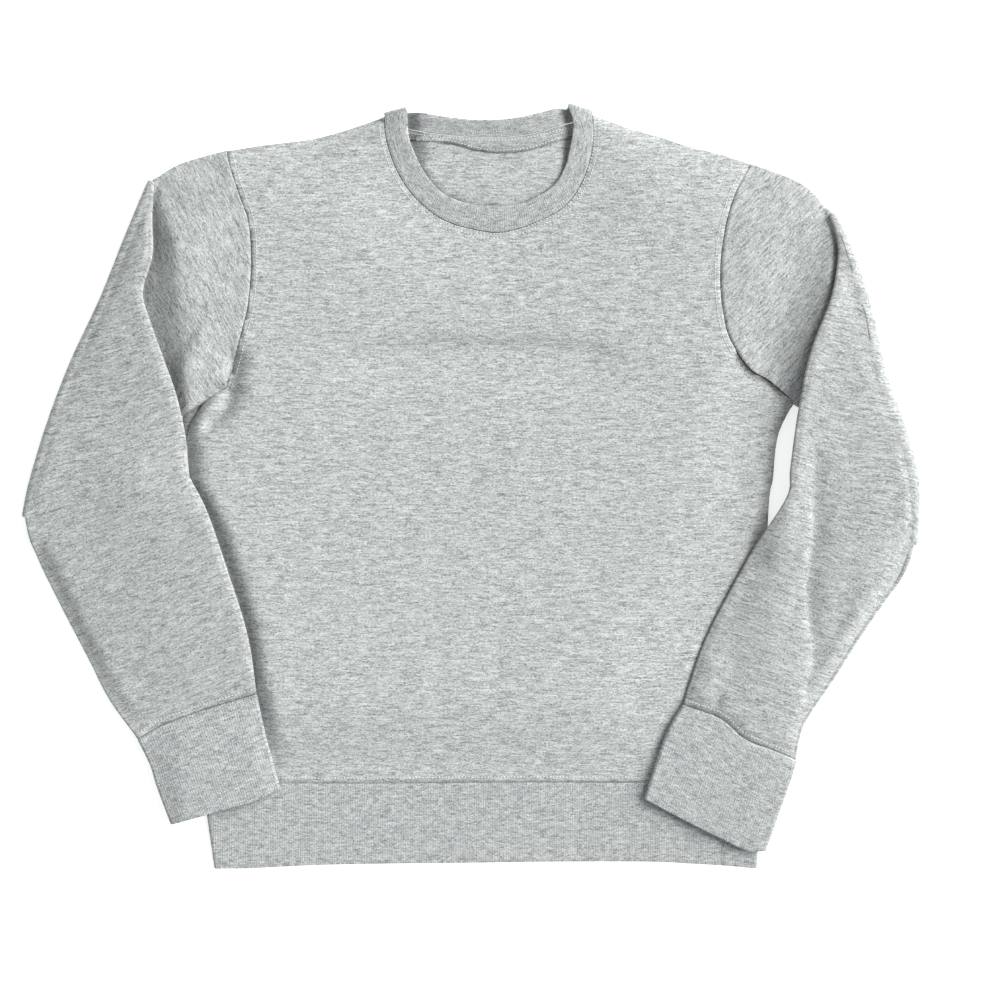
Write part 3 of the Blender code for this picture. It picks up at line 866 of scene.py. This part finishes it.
@dataclass
class Neckline:
    """The neck rib, a doubled ring folded at the two neck points, and the tape behind it."""

    front_mid: float = 10.6
    lift: float = 0.9           # how much the front's inner edge stands up
    point_lift: float = 2.0     # and how much more beside the neck points,
    point_reach: float = 0.16   # over this share of its length
    back_lift: float = 2.5      # how much the back's free edge stands up between the neck points
    lift_ends: tuple[float, float] = (0.1, 0.2)     # shares of its length over which that starts and ends

    def rib(self) -> bpy.types.Object:
        """Return the ring of rib."""
        steps = 120
        shares = np.array([0.0, 0.03, 0.08, 0.15, 0.26, 0.38, 0.5, 0.62, 0.74, 0.86, 1.0])
        front_seam = sideways(curve(NECK_SEAM_FRONT, steps), SEAM_GAP / 2)
        back_seam = sideways(curve(NECK_SEAM_BACK, steps), SEAM_GAP / 2)
        front_edge = sideways(curve(NECK_EDGE_FRONT, steps), -RIB / 2)
        back_edge = sideways(curve(NECK_EDGE_BACK, steps), -RIB / 2)
        for end in (0, -1):
            back_seam[end], back_edge[end] = front_seam[end], front_edge[end]
        front = front_seam[None] + (front_edge - front_seam)[None] * shares[:, None, None]
        back = back_seam[None] + (back_edge - back_seam)[None] * shares[:, None, None]
        across = np.linspace(0.0, 1.0, steps + 1)
        near_point = near(np.minimum(across, 1 - across), self.point_reach)
        away = shares[:, None] * NECK_RIB
        upper = self.front_mid + self.lift * ease(shares)[:, None] + seam_dip(away, 0.3, 0.25)
        upper = upper + self.point_lift * near_point[None] * ease(shares / 0.6)[:, None]
        between = ease(np.minimum(across / self.lift_ends[0], (1 - across) / self.lift_ends[1]))
        lower = HEM_BACK_MID + neck_pad(back) + self.back_lift * between[None] * ease(shares)[:, None]
        ways = []
        for end in (-1, 0):
            fold = front_edge[end] - front_seam[end]
            way = unit(np.array([fold[1], -fold[0], 0.0]))
            ways.append(way if way[1] > 0 else -way)
        middle = joined(raised(front, upper), raised(back, lower), ways, 10)
        return tube("neck_rib_ring", middle, self.round_cloth(middle), RIB, Finish.RIB, rim=5)

    @staticmethod
    def round_cloth(middle: np.ndarray) -> np.ndarray:
        """Return cloth coordinates that run round the ring, so that the courses follow its edge."""
        down = np.linalg.norm(middle - middle[:1], axis=2)
        round_it = np.broadcast_to(run(middle[len(middle) // 2]), down.shape)
        return np.stack([round_it, down], axis=2) + np.array(GRAIN["neck"])

    def tape(self) -> bpy.types.Object:
        """Return the tape that covers the back neck seam."""
        outline = np.vstack([curve(TAPE_TOP, 60), curve(TAPE_BOTTOM, 60)[::-1]])
        top = FLEECE + SEAM_GAP + TAPE / 2

        def height(plan: np.ndarray) -> np.ndarray:
            """Return the height of the middle of the tape's wall."""
            return top + neck_pad(plan) + 0.35 * ease(distance(plan, closed(outline)) / 3.0)

        rings = (0.5, 0.7, 1.0, 1.2)
        return cut_panel("neck_tape_strip", outline, rings, 6.0, height, TAPE, Finish.TAPE, GRAIN["tape"])

    def build(self) -> None:
        """Make the rib and the tape."""
        rib, tape = self.rib(), self.tape()
        place(rib, "neck_rib", Finish.RIB)
        place(tape, "neck_tape", Finish.TAPE)


# --- sleeves


@dataclass
class Sleeve:
    """One sleeve, from its armhole over the fold to the end of its cuff.

    The lines run from the shoulder to the underarm, or down the arm. What lies below the fold is
    the first part, and what lies above it the folded part. Heights are of the middle of a wall.
    """

    side: str
    armhole: Table
    shoulder_edge: Table
    fold: Table
    first_underarm: Table
    inner_edge: Table
    underarm: Table
    cuff_seam: Table
    cuff_inner: Table
    cuff_outer: Table
    cuff_edge: Table
    fold_height: tuple[float, ...]     # of the fold's axis, at even steps from the shoulder to the tip
    relax: tuple[float, ...]           # how far from the fold the cloth is still lifted, likewise
    press: tuple[float, ...]           # reach of the dip beside the inner edge, at even steps down the arm
    swell: Swell                       # the top of the folded part
    cuff_lift: float                   # of the cuff's end
    course: tuple[float, float]        # direction of the knit's courses on the first part
    first_creases: tuple[Crease, ...] = ()
    folded_creases: tuple[Crease, ...] = ()
    seam_inset: float = 0.0            # the underarm seam shows this far inside the lower edge,
    seam_depth: float = 0.9            # sunk this much,
    seam_clear: float = 20.0           # and fades out this far from the fold
    seam_free: float = 6.0             # the creases start this far from the cuff's seam
    armhole_free: float = 8.0          # and this far from the armhole
    first_steps: int = 30
    bend_steps: int = 12
    folded_steps: int = 110
    cuff_steps: int = 26
    inner_reach: float = 26.0          # the lower layer comes down from the inner edge over this width
    edge_reach: float = 17.0           # the top rises over this width inside the lower edge
    seam_rise: float = 12.0            # and over this width from the cuff's seam
    edge_drop: float = 1.5             # it drops by this much at the inner edge
    drop_reach: float = 7.0            # over this width
    stiffness: float = 0.6             # share of the drop beside the body that the sleeve's end spans
    flat_spread: float = 1.5           # half the distance between the two layers where they touch
    silhouette: float = 9.0            # the garment's outline lies this far outside the fold table
    edge_out: float = 2.5              # and this much the lower edge lies outside its table
    edge_lift: float = 0.0             # how much the inner edges stand off what they lie on
    fold_reach: float = FOLD_REACH     # how far the fold presses the first part
    tuck: tuple[float, ...] = (0.0, 0.0)     # how far the dip is hidden below the folded part, likewise
    edge_bands: tuple[float, ...] = (2.8, 3.6, 4.6, 5.4, 6.2, 7.2, 8.4, 10.0, 12.5, 16.0)
    lines: dict[str, np.ndarray] = field(default_factory=dict)

    def __post_init__(self) -> None:
        """Work out the smooth lines."""
        for name in (
            "shoulder_edge", "fold", "first_underarm", "inner_edge", "underarm", "cuff_seam", "cuff_inner",
            "cuff_outer", "cuff_edge",
        ):
            self.lines[name] = curve(getattr(self, name))
        out = -1 if self.side == "left" else 1
        self.lines["armhole"] = sideways(trimmed(curve(self.armhole)[::-1], 1.6), out * SEAM_GAP / 2)
        away = sideways(self.lines["fold"], 1.0) - self.lines["fold"]
        self.away = away * (out if away[0, 0] > 0 else -out)
        self.flat_mid = (BACK_MID + FRONT_MID) / 2
        out_by = self.silhouette - spread(self.fold_height, np.linspace(0.0, 1.0, len(self.away)))
        moved = self.away * out_by[:, None]
        self.lines["fold"] = self.lines["fold"] + moved
        for name, end in (("shoulder_edge", -1), ("inner_edge", 0), ("first_underarm", -1), ("underarm", 0)):
            line = self.lines[name]
            from_end = np.linspace(0.0, 1.0, len(line)) if end == 0 else np.linspace(1.0, 0.0, len(line))
            corner = moved[0] if name in ("shoulder_edge", "inner_edge") else moved[-1]
            self.lines[name] = line + corner * near(from_end, CORNER_SHARE)[:, None]
        for name, end in (("shoulder_edge", 0), ("first_underarm", -1)):
            self.lines[name][0] = self.lines["armhole"][end]
        for name, reach in (("underarm", 0.12), ("cuff_outer", 0.0)):
            line = self.lines[name]
            share = ease(np.linspace(0.0, 1.0, len(line)) / reach) if reach else np.ones(len(line))
            self.lines[name] = line + (sideways(line, out * self.edge_out) - line) * share[:, None]

    def columns(self, widths: np.ndarray, inner: int = 52) -> np.ndarray:
        """Return each row's places across: bands of fixed width at the edges, even steps between."""
        bands = np.array(self.edge_bands)[None] / widths[:, None]
        between = np.linspace(0.0, 1.0, inner + 1)[None, 1:-1]
        start, end = bands[:, -1:], 1 - bands[:, -1:]
        return np.concatenate([bands, start + (end - start) * between, (1 - bands)[:, ::-1]], axis=1)

    def first_outline(self) -> np.ndarray:
        """Return the closed plan outline of the first part."""
        thin = slice(None, None, 8)
        return np.vstack([
            self.lines["armhole"][::-1][thin], self.lines["shoulder_edge"][thin], self.lines["fold"][thin],
            self.lines["first_underarm"][::-1][thin],
        ])

    def folded_outline(self) -> np.ndarray:
        """Return the closed plan outline of the folded part and the cuff."""
        edges = [
            curve(table, 24)
            for table in (
                self.inner_edge, self.cuff_inner, self.cuff_edge, self.cuff_outer[::-1], self.underarm[::-1],
                self.fold[::-1],
            )
        ]
        return closed(np.vstack(edges))

    def pressed(self, plan: np.ndarray) -> np.ndarray:
        """Return how free plan points are of the folded part and the cuff, from 0 below them to 1."""
        outline = self.folded_outline()
        covered = inside(plan, outline)
        edge, down = nearest(plan, curve(self.inner_edge, 60))
        tuck = spread(self.tuck, down)
        free = np.maximum(np.where(covered, tuck - edge, tuck + edge), 0.0) / spread(self.press, down)
        for table in (self.cuff_inner, self.cuff_edge):
            free = np.minimum(free, distance(plan, curve(table, 12)) / CUFF_PRESS)
        free[covered & (edge > tuck)] = 0.0
        return free

    def unfolded(self, plan: np.ndarray, turned: float = 1.0) -> np.ndarray:
        """Return where plan points of the folded part lie before the sleeve is folded.

        Args:
            plan: the points.
            turned: share of the way round the fold that lies between them and the first part.
        """
        start = self.lines["fold"][0]
        chord = self.lines["fold"][-1] - start
        square = unit(np.array([-chord[1], chord[0]]))
        square *= np.sign(square @ self.away[len(self.away) // 2])
        round_the_fold = turned * math.pi * (float(np.mean(self.fold_height)) - self.flat_mid)
        away, place = nearest(plan, self.lines["fold"][::4])
        bow = (at(self.lines["fold"][::4], place) - start) @ square
        beyond = (plan - start) @ square - bow * near(away, UNROLL_REACH)
        return plan - 2 * beyond[..., None] * square + round_the_fold * square

    def on_course(self, unfolded: np.ndarray) -> np.ndarray:
        """Return cloth coordinates, u along the courses, from unfolded plan points."""
        course = unit(np.array(self.course))
        down = np.array([course[1], -course[0]])
        return np.stack([unfolded @ course, unfolded @ down], axis=-1) + np.array(GRAIN[self.side])

    def first_part(self, shares: np.ndarray) -> tuple[np.ndarray, np.ndarray, np.ndarray]:
        """Return the first part's upper layer, lower layer and cloth coordinates."""
        v = np.linspace(0.0, 1.0, self.first_steps + 1)[:-1] ** 1.2
        plan = patch(
            self.lines["armhole"], self.lines["fold"], self.lines["shoulder_edge"],
            self.lines["first_underarm"], np.broadcast_to(shares, (len(v), shares.shape[-1])), v,
        )
        away = distance(plan, self.lines["armhole"][::4])
        shape = relief(plan, self.first_creases) * ease(away / self.armhole_free) * ease(self.pressed(plan))
        upper = FRONT_MID + loft(plan) + (shape + seam_dip(away, 0.15, 0.1))
        return raised(plan, upper), raised(plan, np.full(upper.shape, BACK_MID)), self.on_course(plan)

    def bend(self, shares: np.ndarray) -> tuple[np.ndarray, np.ndarray, np.ndarray]:
        """Return the layers of the bend: the one on top before it, the one below, and cloth coordinates."""
        fold, away = at(self.lines["fold"], shares), at(self.away, shares)
        axis_height = spread(self.fold_height, shares)
        radius = axis_height - self.flat_mid
        above, below, cloth = [], [], []
        for angle in np.pi * np.arange(self.bend_steps + 1) / self.bend_steps:
            for layer, offset in ((above, -self.flat_spread), (below, self.flat_spread)):
                reach = radius + offset
                plan = fold + away * (reach * math.sin(angle))[:, None]
                layer.append(raised(plan, axis_height - reach * math.cos(angle)))
            cloth.append(self.on_course(self.unfolded(fold, angle / math.pi)))
        return np.array(above), np.array(below), np.array(cloth)

    def folded_part(self, supports: list[Support]) -> tuple[np.ndarray, np.ndarray, np.ndarray]:
        """Return the folded part's lower layer, upper layer and cloth coordinates."""
        v = np.linspace(0.0, 1.0, self.folded_steps + 1)[1:]
        names = ("fold", "cuff_seam", "inner_edge", "underarm")
        fold, seam, inner, outer = (self.lines[name] for name in names)
        narrowing = run(fold)[-1] + (run(seam)[-1] - run(fold)[-1]) * ease(v * 2)
        u = self.columns(np.maximum(np.linalg.norm(at(outer, v) - at(inner, v), axis=1), narrowing))
        plan = patch(fold, seam, inner, outer, u, v)
        lower, upper = self.layers(plan, supports)
        return raised(plan, lower), raised(plan, upper), self.on_course(self.unfolded(plan))

    def layers(self, plan: np.ndarray, supports: list[Support]) -> tuple[np.ndarray, np.ndarray]:
        """Return the heights of the folded part's lower and upper layers at plan points."""
        inner = distance(plan, self.lines["inner_edge"][::4])
        outer = distance(plan, self.lines["underarm"][::4])
        seam = distance(plan, self.lines["cuff_seam"][::8])
        fold, along = nearest(plan, self.lines["fold"][::4])
        lift = drape(plan, supports)
        lower = FLEECE / 2 + lift + (lift.max() - lift) * self.stiffness * near(seam, STIFF_REACH)
        lower = lower + self.edge_lift * near(inner, LIFT_EDGE)
        both = 2 * self.flat_spread
        top = self.swell.height(plan) + relief(plan, self.folded_creases) * ease(seam / self.seam_free)
        rise = np.maximum(top - lower - both, 0.0) * ease(outer / self.edge_reach) * ease(seam / self.seam_rise)
        upper = lower + both + rise - self.edge_drop * near(inner, self.drop_reach) * ease(rise)
        near_fold = near(fold, spread(self.relax, along))
        at_fold = 2 * spread(self.fold_height, along) - self.flat_mid + self.flat_spread
        upper = upper + (at_fold - upper) * near_fold
        held = np.maximum(near_fold, near(inner, self.inner_reach) * ease(outer / self.edge_reach))
        lower = lower + (upper - both - lower) * held
        upper = upper + seam_dip(seam, 0.4, 0.5, 0.3)
        if self.seam_inset:
            upper = upper - self.seam_depth * bell(outer - self.seam_inset, 1.2) * ease(fold / self.seam_clear)
        return lower, upper

    @staticmethod
    def ways_out(layer: np.ndarray, normal: np.ndarray, edge: int, inner: int) -> np.ndarray:
        """Return the directions out of a tube's edge, square to the edge and to the cloth's normal."""
        way = unit(np.cross(np.gradient(layer[:, edge], axis=0), normal), TINY)
        facing = ((layer[:, edge] - layer[:, inner]) * way).sum(axis=1, keepdims=True)
        way = np.where(facing < 0, -way, way)
        for end in (0, -1):
            way[end] = unit(layer[end, edge] - layer[end, inner])
        return way

    def loops(
        self, front: np.ndarray, back: np.ndarray, cloth: np.ndarray, steps: int = 8,
    ) -> tuple[np.ndarray, np.ndarray]:
        """Return the closed loops round the sleeve, and their cloth coordinates."""
        ways, flats = [], [cloth]
        turn = np.minimum(np.arange(1, steps), np.arange(1, steps)[::-1]) / steps * math.pi / 2
        for edge, inner, after in ((-1, -2, [cloth[:, ::-1]]), (0, 1, [])):
            apart = front[:, edge] - back[:, edge]
            ways.append(self.ways_out((front + back) / 2, unit(apart), edge, inner))
            outward = unit(cloth[:, edge] - cloth[:, inner], TINY)
            reach = np.linalg.norm(apart, axis=1)[:, None] * turn
            flats += [cloth[:, edge][:, None] + outward[:, None] * reach[..., None], *after]
        return joined(front, back, ways, steps), np.concatenate(flats, axis=1)

    def arm(self, supports: list[Support]) -> bpy.types.Object:
        """Return the sleeve."""
        shares = self.columns(run(self.lines["fold"])[-1:])[0]
        stretches = (self.first_part(shares), self.bend(shares), self.folded_part(supports))
        middle, flat = self.loops(*(np.concatenate(layer) for layer in zip(*stretches)))
        return tube(f"sleeve_cloth_{self.side}", middle, flat, FLEECE, Finish.SLEEVE)

    def cuff(self, supports: list[Support]) -> bpy.types.Object:
        """Return the doubled rib at the sleeve's end."""
        v = np.concatenate([[0.0, 0.012, 0.03, 0.055, 0.09], np.linspace(0.13, 1.0, self.cuff_steps)])
        seam, edge, inner, outer = (self.lines[f"cuff_{name}"] for name in ("seam", "edge", "inner", "outer"))
        width = run(edge)[-1]
        u = self.columns(np.full(len(v), width), 36)
        gap = unit(inner[-1] - inner[0]) * SEAM_GAP
        plan = patch(seam, edge, inner, outer, u, v) + gap * (1 - v)[:, None, None]
        down = np.broadcast_to((v * run(inner)[-1])[:, None], u.shape)
        lift = drape(plan, supports)
        lower = RIB / 2 + lift + (lift.max() - lift) * self.stiffness + self.cuff_lift * ease(v)[:, None]
        lower = lower + self.edge_lift * near(u * width, LIFT_EDGE)
        puff = self.cuff_lift * ease(np.minimum(u, 1 - u) * width / self.edge_reach) * ease(v * 4)[:, None]
        upper = lower + CUFF_THICK + puff + seam_dip(down, 0.5, 0.2)
        cloth = np.stack([u * width, -down], axis=2) + np.array(GRAIN["cuff"])
        middle, flat = self.loops(raised(plan, lower), raised(plan, upper), cloth)
        return tube(f"cuff_rib_{self.side}", middle, flat, RIB, Finish.RIB, rim=5)

    def build(self, below: list[Support]) -> None:
        """Make the sleeve and its cuff, lying on what is below them."""
        arm = self.arm(below + [Support(self.first_outline(), FRONT_TOP)])
        cuff = self.cuff(below)
        place(arm, f"sleeve_{self.side}", Finish.SLEEVE)
        place(cuff, f"cuff_{self.side}", Finish.RIB)


LEFT_SLEEVE = Sleeve(
    side="left",
    armhole=ARMHOLE_LEFT,
    shoulder_edge=((-224, 308), (-246, 302.5), (-264, 297), (-276, 290.5), (-283, 285), (-287, 279)),
    fold=((-287, 279), (-310, 223), (-332, 168), (-358, 112.5), (-379, 58), (-396, 3), (-403, -30)),
    first_underarm=((-224, 94), (-259, 70), (-310, 36), (-360, 3), (-403, -30)),
    inner_edge=(
        (-287, 279), (-290, 247), (-291, 214), (-300, 180), (-292, 150), (-281, 120), (-268, 83),
        (-260, 44), (-259, 16), (-241, -20), (-221, -77), (-203, -136), (-195, -190),
    ),
    underarm=((-403, -30), (-396, -60), (-376, -103), (-347.5, -158.5), (-329, -195), (-303, -231)),
    cuff_seam=((-195, -190), (-216, -196), (-248, -206), (-280, -218), (-303, -231)),
    cuff_inner=((-195, -190), (-188, -224), (-181, -250), (-174, -275)),
    cuff_outer=((-303, -231), (-291, -255), (-285, -274), (-272, -308)),
    cuff_edge=((-174, -275), (-195, -286), (-216, -292), (-244, -300), (-272, -308)),
    fold_height=(4.9, 6.5, 7.0, 7.0, 7.0, 6.5, 5.0),
    relax=(10.0, 9.0, 8.0, 8.0, 8.0, 8.0, 8.0),
    press=(6, 20, 34, 28, 8, 5, 7, 14, 14, 12, 10),
    swell=Swell((
        (-290, 275, 8.5), (-308, 237, 13), (-331, 183, 14), (-354, 131, 14), (-377, 76, 13), (-401, 6, 12),
        (-408, -30, 9), (-290, 225, 19), (-298, 180, 22), (-283, 120, 25), (-325, 120, 20), (-268, 75, 25),
        (-330, 50, 19), (-261, 25, 20), (-300, 10, 22), (-245, -25, 23), (-300, -50, 19), (-350, -30, 14),
        (-222, -80, 22), (-275, -110, 18), (-205, -140, 18), (-196, -175, 14), (-380, -60, 11),
        (-350, -125, 11), (-315, -185, 10), (-250, -175, 14),
    )),
    cuff_lift=1.8,
    fold_reach=36.0,
    course=(-0.485, 0.875),
    first_creases=(
        Crease(((-276, 262), (-266, 217), (-262, 180), (-250, 146)), 5.0, 25, 0.3, 0.3),
        Crease(((-240, 152), (-250, 134), (-259, 115), (-265, 93)), 4.0, 8, 0.3, 0.5),
        Crease(((-270, 284), (-248, 291), (-222, 291)), -2.0, 7, 0.3),
    ),
    folded_creases=(Crease(((-322, -164), (-300, -178), (-282, -186)), -1.2, 8),),
)

RIGHT_SLEEVE = Sleeve(
    side="right",
    armhole=ARMHOLE_RIGHT,
    shoulder_edge=(
        (258, 296), (276, 290), (294, 283), (305, 277.5), (313, 271), (320, 263), (324, 255), (326, 248),
    ),
    fold=((326, 248), (338, 222), (357, 168), (365, 132.5), (374, 95.5), (393.5, 40), (402, -2), (401, -54)),
    first_underarm=((298, 77), (328, 63), (362, 22), (388, -20), (401, -54)),
    inner_edge=(
        (326, 248), (333, 229), (336, 209), (331, 175), (311, 122), (300, 68), (293, 17),
        (290, -8), (259, -58), (219, -132), (201, -180), (195, -200),
    ),
    underarm=(
        (401, -54), (391, -84.5), (378, -103), (353, -139.5), (330, -176.5), (306, -213), (299, -232),
        (296, -251),
    ),
    cuff_seam=((195, -200), (228, -212), (249, -230), (279, -243), (296, -251)),
    cuff_inner=((195, -200), (180, -226), (164, -272), (160, -285)),
    cuff_outer=((296, -251), (289, -273), (277, -306), (268, -332)),
    cuff_edge=((160, -285), (199, -306), (229, -321), (250, -331), (268, -332)),
    fold_height=(4.9, 9.2, 10.4, 10.4, 10.4, 9.5, 5.0),
    relax=(9.0, 14.0, 13.0, 10.0, 8.0, 8.0, 8.0),
    press=(8, 9, 9, 9, 10, 10, 9, 9, 9, 9, 9),
    swell=Swell((
        (330, 247, 9), (350, 205, 15), (368, 155, 19), (386, 89, 20), (402, 38, 20), (410, -6, 19),
        (409, -56, 9), (337, 217, 14), (338, 195, 19), (355, 160, 20), (328, 160, 23.5), (340, 115, 23.5),
        (311, 110, 26), (298, 60, 26), (290, 8, 25.5), (314, -12, 21.5), (291, -31, 23),
        (314, -49, 18.5), (330, 40, 23),
        (360, 80, 22), (345, 0, 21), (378, 30, 21), (386, -20, 20), (283, -68, 20.5), (262, -68, 16),
        (335, -60, 19.5), (375, -60, 17.5), (312, -110, 15), (277, -110, 19), (311, -160, 12.5),
        (276, -160, 16.5), (345, -110, 16.5), (331, -150, 13), (240, -100, 14), (212, -165, 12),
        (245, -150, 14), (260, -205, 13), (297, -235, 10),
    )),
    cuff_lift=0.5,
    course=(0.695, 0.719),
    seam_inset=3.5,
    silhouette=10.5,
    edge_out=4.0,
    tuck=(0, 3, 8, 8, 8, 8, 4, 4, 4, 4, 4),
    edge_lift=0.9,
    stiffness=0.5,
    first_creases=(
        Crease(((246, 270), (262, 273), (281, 275)), -1.5, 5),
        Crease(((253, 222), (264, 213), (276, 204)), -1.5, 6),
        Crease(((296, 240), (298, 205), (292, 170), (274, 128), (262, 108)), -4.5, 28, 0.3),
        Crease(((337, 212), (333, 172), (313, 120), (301, 72)), 5.0, 18, 0.25),
    ),
    folded_creases=(
        Crease(
            (
                (334, 205), (326, 162), (310, 125), (301, 95), (296, 64), (294, 18), (289, -28), (282, -70),
            ),
            2.2, 12, 0.1,
        ),
        Crease(
            (
                (315, 40), (314, 6), (314, -49), (310, -68), (310, -120), (315, -145), (314, -163), (309, -180),
                (309, -202),
            ),
            -2.6, 7, 0.1, 0.45,
        ),
        Crease(((350, -68), (345, -104), (331, -141), (317, -178)), -2.0, 9, 0.3),
        Crease(((272, -45), (262, -70), (247, -104), (236, -128)), -1.2, 8, 0.3),
        Crease(((230, -150), (216, -178), (206, -196)), 2.5, 11, 0.3),
        Crease(((213, -207), (222, -202), (233, -192)), -3.0, 3.5, 0.3),
    ),
)


# --- stitches


@dataclass(frozen=True)
class Stitches:
    """A row of stitches along a line, on the cloth of one piece.

    Attributes:
        name: the row's name.
        piece: the piece whose cloth it lies on.
        line: points of the seam.
        offset: moves the row to the left of the line's direction.
        pitch: from one stitch to the next.
        length: of a stitch.
        thick: thickness of the thread.
        proud: share of that thickness by which a stitch's middle stands above the cloth.
    """

    name: str
    piece: str
    line: Table
    offset: float
    pitch: float = 3.0
    length: float = 2.3
    thick: float = 0.8
    proud: float = 0.15

    def build(self) -> None:
        """Sew the row."""
        cloth = BVHTree.FromObject(bpy.data.objects[self.piece], bpy.context.evaluated_depsgraph_get())
        fine = sideways(curve(self.line, 200), self.offset)
        places = even(fine, round(run(fine)[-1] / self.pitch))
        work = bmesh.new()
        size = Matrix.Diagonal((self.length / 2, self.thick / 2, self.thick / 2, 1.0))
        for here, after in zip(places[:-1], places[1:]):
            middle = (here + after) / 2 * METRES
            found, normal, _, _ = cloth.ray_cast(Vector((*middle, 0.1)), Vector((0.0, 0.0, -1.0)))
            if found is None or normal.z < 0.5:
                continue
            along = Vector((*(after - here), 0.0)).normalized()
            across = normal.cross(along).normalized()
            turn = Matrix((across.cross(normal), across, normal)).transposed().to_4x4()
            where = Matrix.Translation(found / METRES + normal * self.thick * self.proud)
            bmesh.ops.create_icosphere(work, subdivisions=1, radius=1.0, matrix=where @ turn @ size)
        row = dress(work, self.name, Finish.THREAD)
        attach(row, "root")
        Finish.THREAD.slot


ROWS = (
    Stitches("neck_row_inner", "front_cloth", NECK_SEAM_FRONT, -1.3),
    Stitches("neck_row_outer", "front_cloth", NECK_SEAM_FRONT, -ROW_OFFSET),
    Stitches("armhole_row_left", "front_cloth", ARMHOLE_LEFT, -ROW_OFFSET),
    Stitches("armhole_row_right", "front_cloth", ARMHOLE_RIGHT, ROW_OFFSET),
    Stitches("hem_row", "front_cloth", HEM_SEAM, ROW_OFFSET),
    Stitches("cuff_row_left", "sleeve_cloth_left", LEFT_SLEEVE.cuff_seam, -ROW_OFFSET),
    Stitches("cuff_row_right", "sleeve_cloth_right", RIGHT_SLEEVE.cuff_seam, ROW_OFFSET),
    Stitches("tape_row_top", "neck_tape_strip", TAPE_TOP, -2.0),
    Stitches("tape_row_bottom", "neck_tape_strip", TAPE_BOTTOM, 2.0),
)


# --- studio


@dataclass(frozen=True)
class Studio:
    """A pale surface, soft daylight from the upper right, and a camera straight above."""

    width: float = 0.920        # of the picture, metres at the cloth
    centre: tuple[float, float] = (0.0276, -0.0124)
    surface: float = 3.0        # half the width of the surface
    distance: float = 2.6
    sensor: float = 36.0
    light_from: tuple[float, float] = (0.92, 0.38)
    light_elevation: float = 33.0       # degrees
    light_spread: float = 50.0          # degrees
    light_strength: float = 5.3
    surface_glow: float = 0.55          # the surface is lit a little from below
    room_strength: float = 0.5

    def floor(self) -> None:
        """Lay the surface."""
        work = bmesh.new()
        bmesh.ops.create_grid(work, x_segments=1, y_segments=1, size=self.surface)
        mesh = bpy.data.meshes.new("floor")
        work.to_mesh(mesh)
        work.free()
        mesh.materials.append(new_material("floor_white", {
            "Base Color": (0.93, 0.93, 0.93, 1.0), "Roughness": 0.9, "Emission Color": (1.0, 1.0, 1.0, 1.0),
            "Emission Strength": self.surface_glow,
        })[0])
        floor = show("floor", mesh)

    def daylight(self) -> None:
        """Let soft daylight in from the upper right."""
        data = bpy.data.lights.new("window", "SUN")
        data.angle = math.radians(self.light_spread)
        data.energy = self.light_strength
        lamp = show("window", data)
        across, up = self.light_from
        rise = math.tan(math.radians(self.light_elevation)) * math.hypot(across, up)
        lamp.rotation_euler = Vector((-across, -up, -rise)).to_track_quat("-Z", "Y").to_euler()
        lamp.location = (across, up, rise)

    def build(self) -> None:
        """Make the floor, the lights and the camera."""
        self.floor()
        self.daylight()
        world = bpy.data.worlds.new("room")
        world.use_nodes = True
        sky = {"Color": (0.97, 0.985, 1.0, 1.0), "Strength": self.room_strength}
        adjust(world.node_tree.nodes["Background"], sky)
        bpy.context.scene.world = world
        bpy.context.scene.view_settings.view_transform = "Standard"
        data = bpy.data.cameras.new("camera")
        data.sensor_width = self.sensor
        data.lens = self.sensor * self.distance / self.width
        data.clip_end = 20.0
        camera = show("camera", data)
        camera.location = (*self.centre, self.distance)
        bpy.context.scene.camera = camera


# --- garment


def body_outline() -> np.ndarray:
    """Return the closed plan outline of the body."""
    left = np.vstack([curve(SIDE_LEFT, 24), curve(ARMHOLE_LEFT, 16)[1:]])
    right = np.vstack([curve(SIDE_RIGHT, 24), curve(ARMHOLE_RIGHT, 16)[1:]])
    return np.vstack([left, right[::-1]])


def main() -> None:
    """Dress the garment piece by piece."""
    logging.basicConfig(level=logging.INFO, format="%(name)s: %(message)s")
    Studio().build()
    Body().build()
    Neckline().build()
    hem = np.vstack([curve(HEM_SEAM, 12), curve(HEM_EDGE, 12)[::-1]])
    below = [Support(body_outline(), FRONT_TOP), Support(hem, HEM_TOP)]
    for sleeve in (LEFT_SLEEVE, RIGHT_SLEEVE):
        sleeve.build(below)
    for row in ROWS:
        row.build()


if __name__ == "__main__":
    main()
